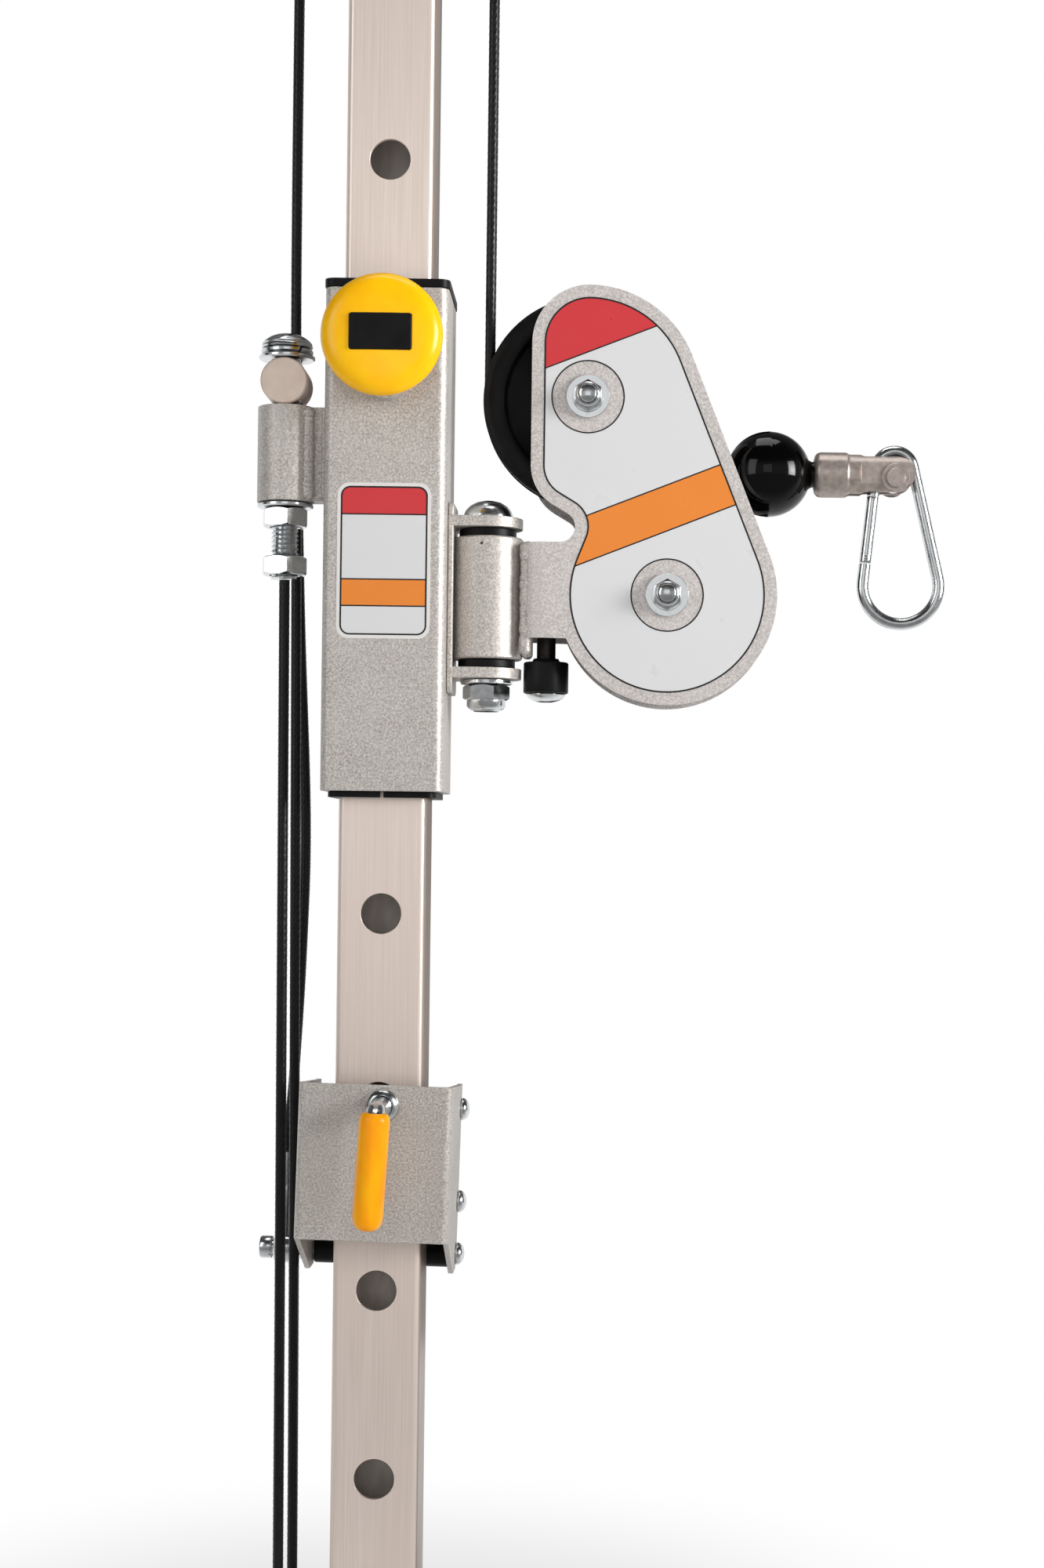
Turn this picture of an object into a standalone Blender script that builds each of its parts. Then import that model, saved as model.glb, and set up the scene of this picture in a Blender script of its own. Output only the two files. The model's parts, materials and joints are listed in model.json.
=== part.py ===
"""Pulley column of a multi gym: a square guide column with a pinned swivel pulley carriage above,
a latched lower carriage below, and the cables that run past both. Units are metres, +Z is up, +X is
the side that the pulleys hang out to, and -Y is the front. The origin is on the column's axis, at
the underside of the foot plate.
"""

import math

import bmesh
import bpy
from mathutils import Matrix, Vector

# Clearances
GAP = 0.0003  # between pieces that touch
SLIDE_GAP = 0.0004  # between a plastic bushing and the column
BORE_GAP = 0.0004  # between a shaft and its bore

# Guide column and its end plates
COLUMN_SIDE = 0.050
COLUMN_WALL = 0.003
COLUMN_CORNER = 0.004
COLUMN_HEIGHT = 0.985  # top end over the origin
PLATE_THICKNESS = 0.008
PLATE_LEFT = -0.076
PLATE_RIGHT = 0.076
PLATE_DEPTH = 0.090
PLATE_CORNER = 0.008
HOLE_RADIUS = 0.0115
HOLE_PITCH = 0.1073
FIRST_HOLE = 0.1004
HOLE_COUNT = 8
PULL_PIN_HOLE = 6  # counted from 0 at the bottom
LATCH_HOLE = 2

# Cables
CABLE_RADIUS = 0.0031
CABLE_HOLE_GAP = 0.0013
RETURN_CABLE_Y = 0.020
CARRIAGE_CABLE_TOP = (-0.0599, 0.031)
CARRIAGE_TRAVEL = HOLE_PITCH  # both carriages can come down by one hole

# Upper carriage: heights are from the pull pin's axis
SLEEVE_SIDE = 0.070
SLEEVE_WALL = 0.005
SLEEVE_CORNER = 0.006
SLEEVE_TOP = 0.0326
SLEEVE_LENGTH = 0.285
BUSHING_DEPTH = 0.040
CAP_SIDE = 0.071
CAP_THICKNESS = 0.0044
FOOT_FLANGE_SIDE = 0.062
FOOT_FLANGE_THICKNESS = 0.0032
FOOT_FLANGE_SPLIT = 0.0022

# Pull pin, its barrel and its knob
PIN_RADIUS = 0.0095
PIN_TRAVEL = 0.012
PIN_BARREL_RADIUS = 0.019
PIN_BARREL_LENGTH = 0.011
PIN_LUG_RADIUS = 0.0105
PIN_LUG_DROP = 0.0215
KNOB_RADIUS = 0.034
KNOB_THICKNESS = 0.013
KNOB_DOME = 0.0045
KNOB_CLEARANCE = 0.001
INLAY_SIZE = (0.0345, 0.0201)
INLAY_THICKNESS = 0.0012

# Cable anchor on the sleeve's left side
ANCHOR_X = -0.0592
ANCHOR_Y = -0.010
ANCHOR_RADIUS = 0.0163
ANCHOR_TOP = -0.0325
ANCHOR_LENGTH = 0.0545
WEB_DEPTH = 0.016
TRUNNION_RADIUS = 0.0134
TRUNNION_LENGTH = 0.028
STUD_RADIUS = 0.008
STUD_END = -0.131
STUD_FLANGE_RADIUS = 0.0148
STUD_FLANGE_THICKNESS = 0.0045
STUD_HEAD_RADIUS = 0.0143
STUD_HEAD_HEIGHT = 0.0122
WASHER_RADIUS = 0.016
WASHER_THICKNESS = 0.0028
NUT_FLATS = 0.024
NUT_HEIGHT = 0.0108
NUT_SPACING = 0.0276

# Swivel bracket and pivot
PIVOT_X = 0.057
PIVOT_Z = -0.1401  # middle of the swivel barrel
BARREL_RADIUS = 0.0206
BARREL_LENGTH = 0.070
BARREL_BORE = 0.0125
PIVOT_RADIUS = 0.008
BUSH_FLANGE_RADIUS = 0.0165
BUSH_FLANGE_THICKNESS = 0.0047
BUSH_DEPTH = 0.018
EAR_THICKNESS = 0.006
EAR_RADIUS = 0.0202
BRACKET_WALL = 0.003
BRACKET_TOP = 0.054
BRACKET_BOTTOM = -0.055
BRACKET_WINDOW = 0.026  # depth of the opening that the barrel stands in
PIVOT_HEAD_RADIUS = 0.0145
PIVOT_HEAD_HEIGHT = 0.0105
PIVOT_WASHER_RADIUS = 0.0150
PIVOT_WASHER_THICKNESS = 0.0025
PIVOT_NUT_FLATS = 0.024
PIVOT_NUT_HEIGHT = 0.0145

# Pulley housing: places are from the pivot, x outwards and z up from the barrel's middle
AXLE_TOP = (0.0572, 0.1144)
AXLE_LOW = (0.1037, 0.0018)
LOBE_TOP_RADIUS = 0.064
LOBE_LOW_RADIUS = 0.0628
SHOULDER_RADIUS = 0.033
PLATE_EDGE_X = 0.025  # left edge beside the upper pulley
BULGE_CENTRE = (0.049, 0.081)
BULGE_RADIUS = 0.024
NOTCH_CENTRE = (0.0403, 0.0419)
NOTCH_RADIUS = 0.0104
ARM_TOP = 0.0315
ARM_BOTTOM = -0.0232
HOUSING_WALL = 0.003
HOUSING_GAP = 0.0366  # between the two plates
ARM_BEND_RADIUS = 0.012
AXLE_RADIUS = 0.005
AXLE_WASHER_RADIUS = 0.0124
AXLE_WASHER_THICKNESS = 0.002
AXLE_NUT_FLATS = 0.015
AXLE_NUT_HEIGHT = 0.008
AXLE_TIP = 0.003
AXLE_SLEEVE_WALL = 0.003

# Pulleys
PULLEY_RADIUS = 0.0605
PULLEY_PITCH_RADIUS = AXLE_TOP[0]  # so the cable comes down the swivel axis
RIM_HALF_WIDTH = 0.0105
RIM_DEPTH = 0.013
RIM_BEVEL = 0.0035
GROOVE_HALF_WIDTH = 0.0068
WEB_HALF_WIDTH = 0.005
HUB_RADIUS = 0.015
HUB_HALF_WIDTH = 0.013

# Index plunger under the arm
PLUNGER_X = 0.0345
PLUNGER_TRAVEL = 0.006
PLUNGER_STEM_RADIUS = 0.00545
PLUNGER_PIN_LENGTH = 0.020
PLUNGER_KNOB_RADIUS = 0.013
PLUNGER_KNOB_TOP = -0.036
PLUNGER_KNOB_LENGTH = 0.018
PLUNGER_DOME_HEIGHT = 0.0045
BLOCK_BOTTOM = -0.0205
BLOCK_TOP = 0.003

# Cable end: places are from the pivot
BALL_RADIUS = 0.0245
BALL_CENTRE = (0.1619, 0.0746)
STOP_TRAVEL = 0.040
NECK_RADIUS = 0.0075
CLEVIS_START = 0.0262  # from the ball's centre
CLEVIS_RADIUS = 0.0130
CLEVIS_STEP = 0.0196
CLEVIS_STEP_RADIUS = 0.0121
FORK_START = 0.0325
FORK_HALF_HEIGHT = 0.0092
FORK_HALF_DEPTH = 0.0105
FORK_SLOT = 0.0084
FORK_END_X = 0.0840
FORK_PIN = (0.0724, -0.0027)
FORK_PIN_RADIUS = 0.0050
FORK_PIN_HEAD_RADIUS = 0.0063
FORK_RING_RADIUS = 0.0093

# Carabiner: places are from the fork pin
ROD_RADIUS = 0.0035
HOOK_TOP_RADIUS = 0.0107  # to the rod's centre
HOOK_TOP_CENTRE = (0.0006, 0.0060)
HOOK_LOW_RADIUS = 0.0220
HOOK_LOW_CENTRE = (0.0048, -0.0611)
GATE_TOP_Z = -0.0092
GATE_LOW_Z = -0.0487
GATE_NOSE_GAP = 0.0006
GATE_JOINT_GAP = 0.0009  # the end's corner needs this as it turns
EYELET_RADIUS = 0.0071
EYELET_THICKNESS = 0.0060

# Lower carriage: heights are from the latch pin's axis
CARRIAGE_LEAN_DEG = 1.4  # it sits a little crooked on the column, as its play allows
CHANNEL_WIDTH = 0.087
CHANNEL_FRONT = -0.045
CHANNEL_BACK = 0.0425
CHANNEL_WALL = 0.003
CHANNEL_BEND = 0.0045
FRONT_TOP = 0.0115
FRONT_BOTTOM = -0.0765
CHEEK_TOP = 0.0060
CHEEK_BOTTOM = -0.1030
CHEEK_SLOPE_END = 0.018
CHEEK_CHAMFER = 0.006
CHEEK_FOOT_CHAMFER = 0.016
ROLLER_RADIUS = 0.0080
ROLLER_GAP = 0.0006
ROLLER_BORE = 0.0042
BOLT_RADIUS = 0.0040
BOLT_HEAD_RADIUS = 0.0065
BOLT_HEAD_HEIGHT = 0.0052
BOLT_END_FLATS = 0.013
BOLT_END_HEIGHT = 0.0055
ROLLER_TOP_Z = -0.0081
STAY_Z = -0.0627
ROLLER_LOW_Z = -0.0937
ANCHOR_BOLT_LENGTH = 0.0285  # beyond the left cheek
ANCHOR_HEAD_HEIGHT = 0.0080
PAD_SIZE = (0.034, 0.050)
PAD_GAP = 0.0005
ANCHOR_EYE_X = -0.0575
ANCHOR_EYE_RADIUS = 0.0088
ANCHOR_EYE_WIDTH = 0.012
FERRULE_BOTTOM = -0.0560
FERRULE_TOP = -0.0362
FERRULE_RADIUS = 0.0062

# Latch handle
LATCH_X = 0.004
LATCH_ROD_RADIUS = 0.0058
LATCH_TRAVEL = 0.009
LATCH_REACH = 0.090  # rest distance of the grip's axis in front of the column's axis
LATCH_BEND = 0.009
GRIP_RADIUS = 0.0085
GRIP_TOP = 0.0025
GRIP_LENGTH = 0.0665
GRIP_LEAN_DEG = 2.0

STEPS = 24  # sides of a turned shape

PIN_Z = FIRST_HOLE + PULL_PIN_HOLE * HOLE_PITCH
LATCH_Z = FIRST_HOLE + LATCH_HOLE * HOLE_PITCH
ROLLER_Y = COLUMN_SIDE / 2 + ROLLER_GAP + ROLLER_RADIUS
PLATE_Y = HOUSING_GAP / 2 + HOUSING_WALL


def clear_scene():
    for obj in list(bpy.data.objects):
        bpy.data.objects.remove(obj, do_unlink=True)


def new_collection(name, hidden=False):
    group = bpy.data.collections.new(name)
    bpy.context.scene.collection.children.link(group)
    group.hide_render = hidden
    return group


def finish(name, colour, metallic, roughness):
    """A painted, plated or moulded finish as a Principled material. The colour is linear RGB."""
    material = bpy.data.materials.new(name)
    material.use_nodes = True
    shader = material.node_tree.nodes["Principled BSDF"]
    shader.inputs["Base Color"].default_value = (*colour, 1.0)
    shader.inputs["Metallic"].default_value = metallic
    shader.inputs["Roughness"].default_value = roughness
    return material


clear_scene()
PARTS = new_collection("multi_gym_pulley_column")
CUTTERS = new_collection("cutters", hidden=True)

NICKEL = finish("satin_nickel", (0.66, 0.60, 0.56), 1.0, 0.28)
SILVER_PAINT = finish("silver_powder_coat", (0.45, 0.42, 0.40), 0.6, 0.45)
ZINC = finish("zinc_plate", (0.62, 0.64, 0.65), 1.0, 0.25)
BLACK_PLASTIC = finish("black_plastic", (0.012, 0.012, 0.013), 0.0, 0.40)
GLOSS_BLACK = finish("gloss_black_moulding", (0.008, 0.008, 0.009), 0.0, 0.12)
CABLE_JACKET = finish("black_cable_jacket", (0.014, 0.013, 0.013), 0.0, 0.45)
YELLOW = finish("yellow_moulding", (0.90, 0.50, 0.02), 0.0, 0.30)


def empty(name, parent=None, at=(0.0, 0.0, 0.0), turn=(0.0, 0.0, 0.0)):
    """A frame whose origin lies on a joint's axis."""
    frame = bpy.data.objects.new(name, None)
    frame.empty_display_size = 0.03
    PARTS.objects.link(frame)
    frame.parent = parent
    frame.location = at
    frame.rotation_euler = turn
    return frame


def baked(helper):
    """The helper's evaluated shape as a welded mesh. The helper is removed."""
    bpy.context.view_layer.update()
    graph = bpy.context.evaluated_depsgraph_get()
    mesh = bpy.data.meshes.new_from_object(helper.evaluated_get(graph), depsgraph=graph)
    bpy.data.objects.remove(helper, do_unlink=True)
    shape = bmesh.new()
    shape.from_mesh(mesh)
    bmesh.ops.remove_doubles(shape, verts=shape.verts, dist=1e-6)
    bmesh.ops.recalc_face_normals(shape, faces=shape.faces)
    shape.to_mesh(mesh)
    shape.free()
    return mesh


def turned(profile, steps=STEPS):
    """A mesh turned round Z from (radius, height) points that run top to bottom on the outer side."""
    closed = profile[0][0] > 0
    shape = bmesh.new()
    points = [shape.verts.new((radius, 0.0, height)) for radius, height in profile]
    for here, there in zip(points, points[1:]):
        shape.edges.new((here, there))
    if closed:
        shape.edges.new((points[-1], points[0]))
    mesh = bpy.data.meshes.new("profile")
    shape.to_mesh(mesh)
    shape.free()
    helper = bpy.data.objects.new("profile", mesh)
    PARTS.objects.link(helper)
    screw = helper.modifiers.new("turn", "SCREW")
    screw.steps = steps
    screw.render_steps = steps
    screw.use_merge_vertices = True
    screw.merge_threshold = 1e-5
    return baked(helper)


def flat(loops, thickness):
    """A mesh of the flat outlines in XY, the first one outer and the rest holes, centred on Z."""
    curve = bpy.data.curves.new("outline", "CURVE")
    curve.dimensions = "2D"
    curve.fill_mode = "BOTH"
    curve.extrude = thickness / 2
    for loop in loops:
        spline = curve.splines.new("POLY")
        spline.points.add(len(loop) - 1)
        for point, (x, y) in zip(spline.points, loop):
            point.co = (x, y, 0.0, 1.0)
        spline.use_cyclic_u = True
    helper = bpy.data.objects.new("outline", curve)
    PARTS.objects.link(helper)
    return baked(helper)


def slice_across(mesh, heights):
    """Adds an edge loop at each height, so that a cut in one stretch leaves the others alone."""
    shape = bmesh.new()
    shape.from_mesh(mesh)
    for height in heights:
        faces = [*shape.verts, *shape.edges, *shape.faces]
        bmesh.ops.bisect_plane(shape, geom=faces, plane_co=(0.0, 0.0, height), plane_no=(0.0, 0.0, 1.0))
    shape.to_mesh(mesh)
    shape.free()


def faced(mesh, axis):
    """Turns a mesh so that its Z lies along an axis: for Y the outline is in XZ, for X in YZ."""
    if axis == "Y":
        mesh.transform(Matrix.Rotation(math.radians(90), 4, "X"))
    elif axis == "X":
        mesh.transform(Matrix(((0, 0, 1, 0), (1, 0, 0, 0), (0, 1, 0, 0), (0, 0, 0, 1))))
    return mesh


def solid(name, mesh, look, parent, at=(0.0, 0.0, 0.0), turn=(0.0, 0.0, 0.0)):
    """A named sub-part with its material, placed in its parent's frame."""
    mesh.name = name
    mesh.materials.clear()
    mesh.materials.append(look)
    mesh.shade_smooth()
    mesh.set_sharp_from_angle(angle=math.radians(35))
    obj = bpy.data.objects.new(name, mesh)
    PARTS.objects.link(obj)
    obj.parent = parent
    obj.location = at
    obj.rotation_euler = turn
    return obj


def boolean(obj, mesh, operation, at=(0.0, 0.0, 0.0), turn=(0.0, 0.0, 0.0)):
    """Cuts, joins or intersects a sub-part with a mesh placed in the sub-part's own frame."""
    tool = bpy.data.objects.new(f"{obj.name}_{operation.lower()}", mesh)
    CUTTERS.objects.link(tool)
    tool.parent = obj
    tool.location = at
    tool.rotation_euler = turn
    tool.hide_render = True
    tool.display_type = "WIRE"
    step = obj.modifiers.new(operation.lower(), "BOOLEAN")
    step.operation = operation
    step.object = tool
    step.solver = "EXACT"


def drill(obj, radius, length, at=(0.0, 0.0, 0.0), axis="Z", steps=STEPS):
    """A round hole centred on a place."""
    boolean(obj, faced(rod(radius, length, steps), axis), "DIFFERENCE", at)


def bevelled(obj, width, segments=2, angle=40):
    """Rounds the sharp edges of a sub-part."""
    step = obj.modifiers.new("edges", "BEVEL")
    step.width = width
    step.segments = segments
    step.limit_method = "ANGLE"
    step.angle_limit = math.radians(angle)
    return obj


def rod(radius, length, steps=STEPS):
    """A plain cylinder mesh centred on Z."""
    shape = bmesh.new()
    bmesh.ops.create_cone(
        shape, cap_ends=True, segments=steps, radius1=radius, radius2=radius, depth=length
    )
    mesh = bpy.data.meshes.new("rod")
    shape.to_mesh(mesh)
    shape.free()
    return mesh


def block(x, y, z):
    """A box mesh of these side lengths, centred."""
    shape = bmesh.new()
    bmesh.ops.create_cube(shape, size=1.0, matrix=Matrix.Diagonal((x, y, z, 1.0)))
    mesh = bpy.data.meshes.new("block")
    shape.to_mesh(mesh)
    shape.free()
    return mesh


def arc(centre, radius, start, end, steps):
    """Points of an arc between two angles in degrees, ends included."""
    return [
        (
            centre[0] + radius * math.cos(math.radians(start + (end - start) * i / steps)),
            centre[1] + radius * math.sin(math.radians(start + (end - start) * i / steps)),
        )
        for i in range(steps + 1)
    ]


def rounded(width, height, radius, steps=4):
    """A rectangle with rounded corners, centred."""
    x, y = width / 2 - radius, height / 2 - radius
    corners = (((x, y), 0), ((-x, y), 90), ((-x, -y), 180), ((x, -y), 270))
    return [point for centre, turn in corners for point in arc(centre, radius, turn, turn + 90, steps)]


def circle(radius, steps=STEPS, centre=(0.0, 0.0)):
    return arc(centre, radius, 0, 360, steps)[:-1]


def hexagon(flats):
    return arc((0.0, 0.0), flats / math.sqrt(3), 0, 300, 5)


def washer(radius, bore, thickness, edge=0.0004):
    """A flat ring with broken outer edges, centred on Z."""
    half = thickness / 2
    return turned(
        [
            (bore, half),
            (radius - edge, half),
            (radius, half - edge),
            (radius, edge - half),
            (radius - edge, -half),
            (bore, -half),
        ]
    )


def hex_nut(flats, bore, height, chamfer=0.0012):
    """A hexagon nut with chamfered corners at both ends, centred on Z."""
    mesh = flat([hexagon(flats), circle(bore, 16)], height)
    corner = flats / math.sqrt(3)
    half = height / 2
    envelope = turned(
        [
            (0.0, half + 1e-4),
            (flats / 2 - 6e-4, half + 1e-4),
            (corner + 4e-4, half - chamfer),
            (corner + 4e-4, chamfer - half),
            (flats / 2 - 6e-4, -half - 1e-4),
            (0.0, -half - 1e-4),
        ]
    )
    return mesh, envelope


def nut(name, flats, bore, height, look, parent, at, axis="Z", turn=(0.0, 0.0, 0.0)):
    mesh, envelope = hex_nut(flats, bore, height)
    obj = solid(name, faced(mesh, axis), look, parent, at, turn)
    boolean(obj, faced(envelope, axis), "INTERSECT")
    return obj


def smooth_route(points, per_stretch=6):
    """Points of a smooth curve through a route's own points."""
    route = [Vector(point) for point in points]
    route = [2 * route[0] - route[1], *route, 2 * route[-1] - route[-2]]
    out = []
    for before, here, there, after in zip(route, route[1:], route[2:], route[3:]):
        for i in range(per_stretch):
            t = i / per_stretch
            out.append(
                0.5
                * (
                    2 * here
                    + (there - before) * t
                    + (2 * before - 5 * here + 4 * there - after) * t**2
                    + (3 * here - before - 3 * there + after) * t**3
                )
            )
    return [*out, route[-2]]


def tube(name, points, radius, look, parent, at=(0.0, 0.0, 0.0), resolution=2):
    """A round rod or cable along points, with closed ends."""
    curve = bpy.data.curves.new(name, "CURVE")
    curve.dimensions = "3D"
    curve.bevel_depth = radius
    curve.bevel_resolution = resolution
    curve.use_fill_caps = True
    spline = curve.splines.new("POLY")
    spline.points.add(len(points) - 1)
    for target, point in zip(spline.points, points):
        target.co = (*point, 1.0)
    helper = bpy.data.objects.new(name, curve)
    PARTS.objects.link(helper)
    return solid(name, baked(helper), look, parent, at)


def straight(start, end, count):
    """Evenly spaced points from start to end, ends included."""
    start, end = Vector(start), Vector(end)
    return [start.lerp(end, i / (count - 1)) for i in range(count)]


# Frames of the bodies that move
column = empty("column_frame")
carriage = empty("carriage_slide", column, (0.0, 0.0, PIN_Z))
pin_axis = empty("pull_pin_axis", carriage)
swivel = empty("swivel_axis", carriage, (PIVOT_X, 0.0, PIVOT_Z))
top_axle = empty("upper_pulley_axis", swivel, (AXLE_TOP[0], 0.0, AXLE_TOP[1]))
low_axle = empty("lower_pulley_axis", swivel, (AXLE_LOW[0], 0.0, AXLE_LOW[1]))
plunger_axis = empty("index_plunger_axis", swivel, (PLUNGER_X, 0.0, 0.0))
cable_end = empty("cable_end_frame", swivel, (BALL_CENTRE[0], 0.0, BALL_CENTRE[1]))
hook_axis = empty("carabiner_axis", cable_end, (FORK_PIN[0], 0.0, FORK_PIN[1]))
carriage_lean = (0.0, math.radians(CARRIAGE_LEAN_DEG), 0.0)
lower = empty("lower_carriage_slide", column, (0.0, 0.0, LATCH_Z), carriage_lean)
latch_axis = empty("latch_axis", lower, (LATCH_X, 0.0, 0.0))


def make_column():
    """The square tube with its row of holes in the front wall, and the plates on its ends."""
    inner = COLUMN_SIDE - 2 * COLUMN_WALL
    bottom = PLATE_THICKNESS + GAP
    length = COLUMN_HEIGHT - bottom
    loops = [
        rounded(COLUMN_SIDE, COLUMN_SIDE, COLUMN_CORNER),
        rounded(inner, inner, COLUMN_CORNER - COLUMN_WALL),
    ]
    shape = flat(loops, length)
    between = [FIRST_HOLE + (number - 0.5) * HOLE_PITCH for number in range(HOLE_COUNT + 1)]
    slice_across(shape, [height - bottom - length / 2 for height in between])
    tube_wall = solid("guide_column", shape, NICKEL, column, (0.0, 0.0, bottom + length / 2))
    for number in range(HOLE_COUNT):
        height = FIRST_HOLE + number * HOLE_PITCH - bottom - length / 2
        place = (0.0, (COLUMN_WALL - COLUMN_SIDE) / 2, height)
        drill(tube_wall, HOLE_RADIUS, 3 * COLUMN_WALL, place, "Y", 24)
    make_end_plate("foot_plate", PLATE_THICKNESS / 2, adjuster_x(0.0), RETURN_CABLE_ROUTE[-1], ())
    top = COLUMN_HEIGHT + GAP + PLATE_THICKNESS / 2
    others = (CARRIAGE_CABLE_TOP, (PIVOT_X + AXLE_TOP[0] - PULLEY_PITCH_RADIUS, 0.0))
    make_end_plate("top_plate", top, None, RETURN_CABLE_ROUTE[0], others)


def make_end_plate(name, height, adjuster, still, moving):
    """A plate across the column's end. The still cable fits its hole and the moving ones run free."""
    outline = [
        (x + (PLATE_LEFT + PLATE_RIGHT) / 2, y)
        for x, y in rounded(PLATE_RIGHT - PLATE_LEFT, PLATE_DEPTH, PLATE_CORNER)
    ]
    wide = CABLE_RADIUS + CABLE_HOLE_GAP
    holes = [circle(CABLE_RADIUS + GAP, 16, (still[0], RETURN_CABLE_Y))]
    holes += [circle(wide, 16, place) for place in moving]
    if adjuster is not None:
        holes.append(circle(wide, 16, (adjuster, ANCHOR_Y)))
    solid(name, flat([outline, *holes], PLATE_THICKNESS), SILVER_PAINT, column, (0.0, 0.0, height))


PLATE_TOP = COLUMN_HEIGHT + GAP + PLATE_THICKNESS
CABLE_TOP = PLATE_TOP + CARRIAGE_TRAVEL  # a moving cable stays in the top plate all the way down
RETURN_CABLE_ROUTE = [
    (-0.0586, RETURN_CABLE_Y, PLATE_TOP),
    (-0.0584, RETURN_CABLE_Y, 0.800),
    (-0.0562, RETURN_CABLE_Y, 0.614),
    (-0.0528, RETURN_CABLE_Y, 0.230),
    (-0.0514, RETURN_CABLE_Y, 0.030),
    (-0.0514, RETURN_CABLE_Y, 0.0),
]
ADJUSTER_CABLE_FOOT_X = -0.0556


def adjuster_x(height):
    """How far out the adjuster's cable is at a height over the origin."""
    top = PIN_Z + STUD_END
    share = (top - height) / top
    return ANCHOR_X + (ADJUSTER_CABLE_FOOT_X - ANCHOR_X) * share


def make_column_cable():
    """The still cable that runs the whole height behind the others."""
    tube("return_cable", smooth_route(RETURN_CABLE_ROUTE), CABLE_RADIUS, CABLE_JACKET, column)


def make_sleeve():
    """The carriage tube, with a hole for the pull pin in its front wall."""
    inner = SLEEVE_SIDE - 2 * SLEEVE_WALL
    loops = [
        rounded(SLEEVE_SIDE, SLEEVE_SIDE, SLEEVE_CORNER, 5),
        rounded(inner, inner, SLEEVE_CORNER - SLEEVE_WALL, 3),
    ]
    middle = SLEEVE_TOP - SLEEVE_LENGTH / 2
    sleeve = solid("carriage_sleeve", flat(loops, SLEEVE_LENGTH), SILVER_PAINT, carriage, (0.0, 0.0, middle))
    front = ((SLEEVE_WALL - SLEEVE_SIDE) / 2)
    drill(sleeve, PIN_RADIUS + BORE_GAP, 3 * SLEEVE_WALL, (0.0, front, -middle), "Y", 24)


def make_bushings():
    """A one-piece plastic bushing in the top, and two half bushings in the bottom."""
    outer = SLEEVE_SIDE - 2 * SLEEVE_WALL - 2 * GAP
    bore = COLUMN_SIDE + 2 * SLIDE_GAP
    bore_loop = rounded(bore, bore, COLUMN_CORNER)
    liner = flat([rounded(outer, outer, SLEEVE_CORNER - SLEEVE_WALL), bore_loop], BUSHING_DEPTH)
    cap = flat([rounded(CAP_SIDE, CAP_SIDE, SLEEVE_CORNER, 5), bore_loop], CAP_THICKNESS)
    cap_bottom = SLEEVE_TOP + GAP
    upper = solid("upper_bushing", cap, BLACK_PLASTIC, carriage, (0.0, 0.0, cap_bottom + CAP_THICKNESS / 2))
    overlap = 0.001
    down = -CAP_THICKNESS / 2 - BUSHING_DEPTH / 2 + overlap
    boolean(upper, liner, "UNION", (0.0, 0.0, down))
    passage = 2 * (PIN_RADIUS + BORE_GAP + 0.001)
    notch_top = -cap_bottom - CAP_THICKNESS / 2 + passage / 2
    notch_bottom = down - BUSHING_DEPTH / 2 - 0.001
    notch_middle = (notch_top + notch_bottom) / 2
    place = (0.0, -(COLUMN_SIDE + SLEEVE_SIDE) / 4, notch_middle)
    depth = (SLEEVE_SIDE - COLUMN_SIDE) / 2 + 0.0019
    boolean(upper, block(passage, depth, notch_top - notch_bottom), "DIFFERENCE", place)

    flange_top = SLEEVE_TOP - SLEEVE_LENGTH - GAP
    flange_loop = rounded(FOOT_FLANGE_SIDE, FOOT_FLANGE_SIDE, SLEEVE_CORNER, 5)
    for side, sign in (("left", -1), ("right", 1)):
        flange = flat([flange_loop, bore_loop], FOOT_FLANGE_THICKNESS)
        place = (0.0, 0.0, flange_top - FOOT_FLANGE_THICKNESS / 2)
        half = solid(f"lower_bushing_{side}", flange, BLACK_PLASTIC, carriage, place)
        liner = flat([rounded(outer, outer, SLEEVE_CORNER - SLEEVE_WALL), bore_loop], BUSHING_DEPTH)
        boolean(half, liner, "UNION", (0.0, 0.0, FOOT_FLANGE_THICKNESS / 2 + BUSHING_DEPTH / 2 - overlap))
        height = BUSHING_DEPTH + 0.02
        away = (-sign * (SLEEVE_SIDE / 2 - FOOT_FLANGE_SPLIT / 2), 0.0, height / 2 - 0.01)
        boolean(half, block(SLEEVE_SIDE, 2 * SLEEVE_SIDE, height), "DIFFERENCE", away)


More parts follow.
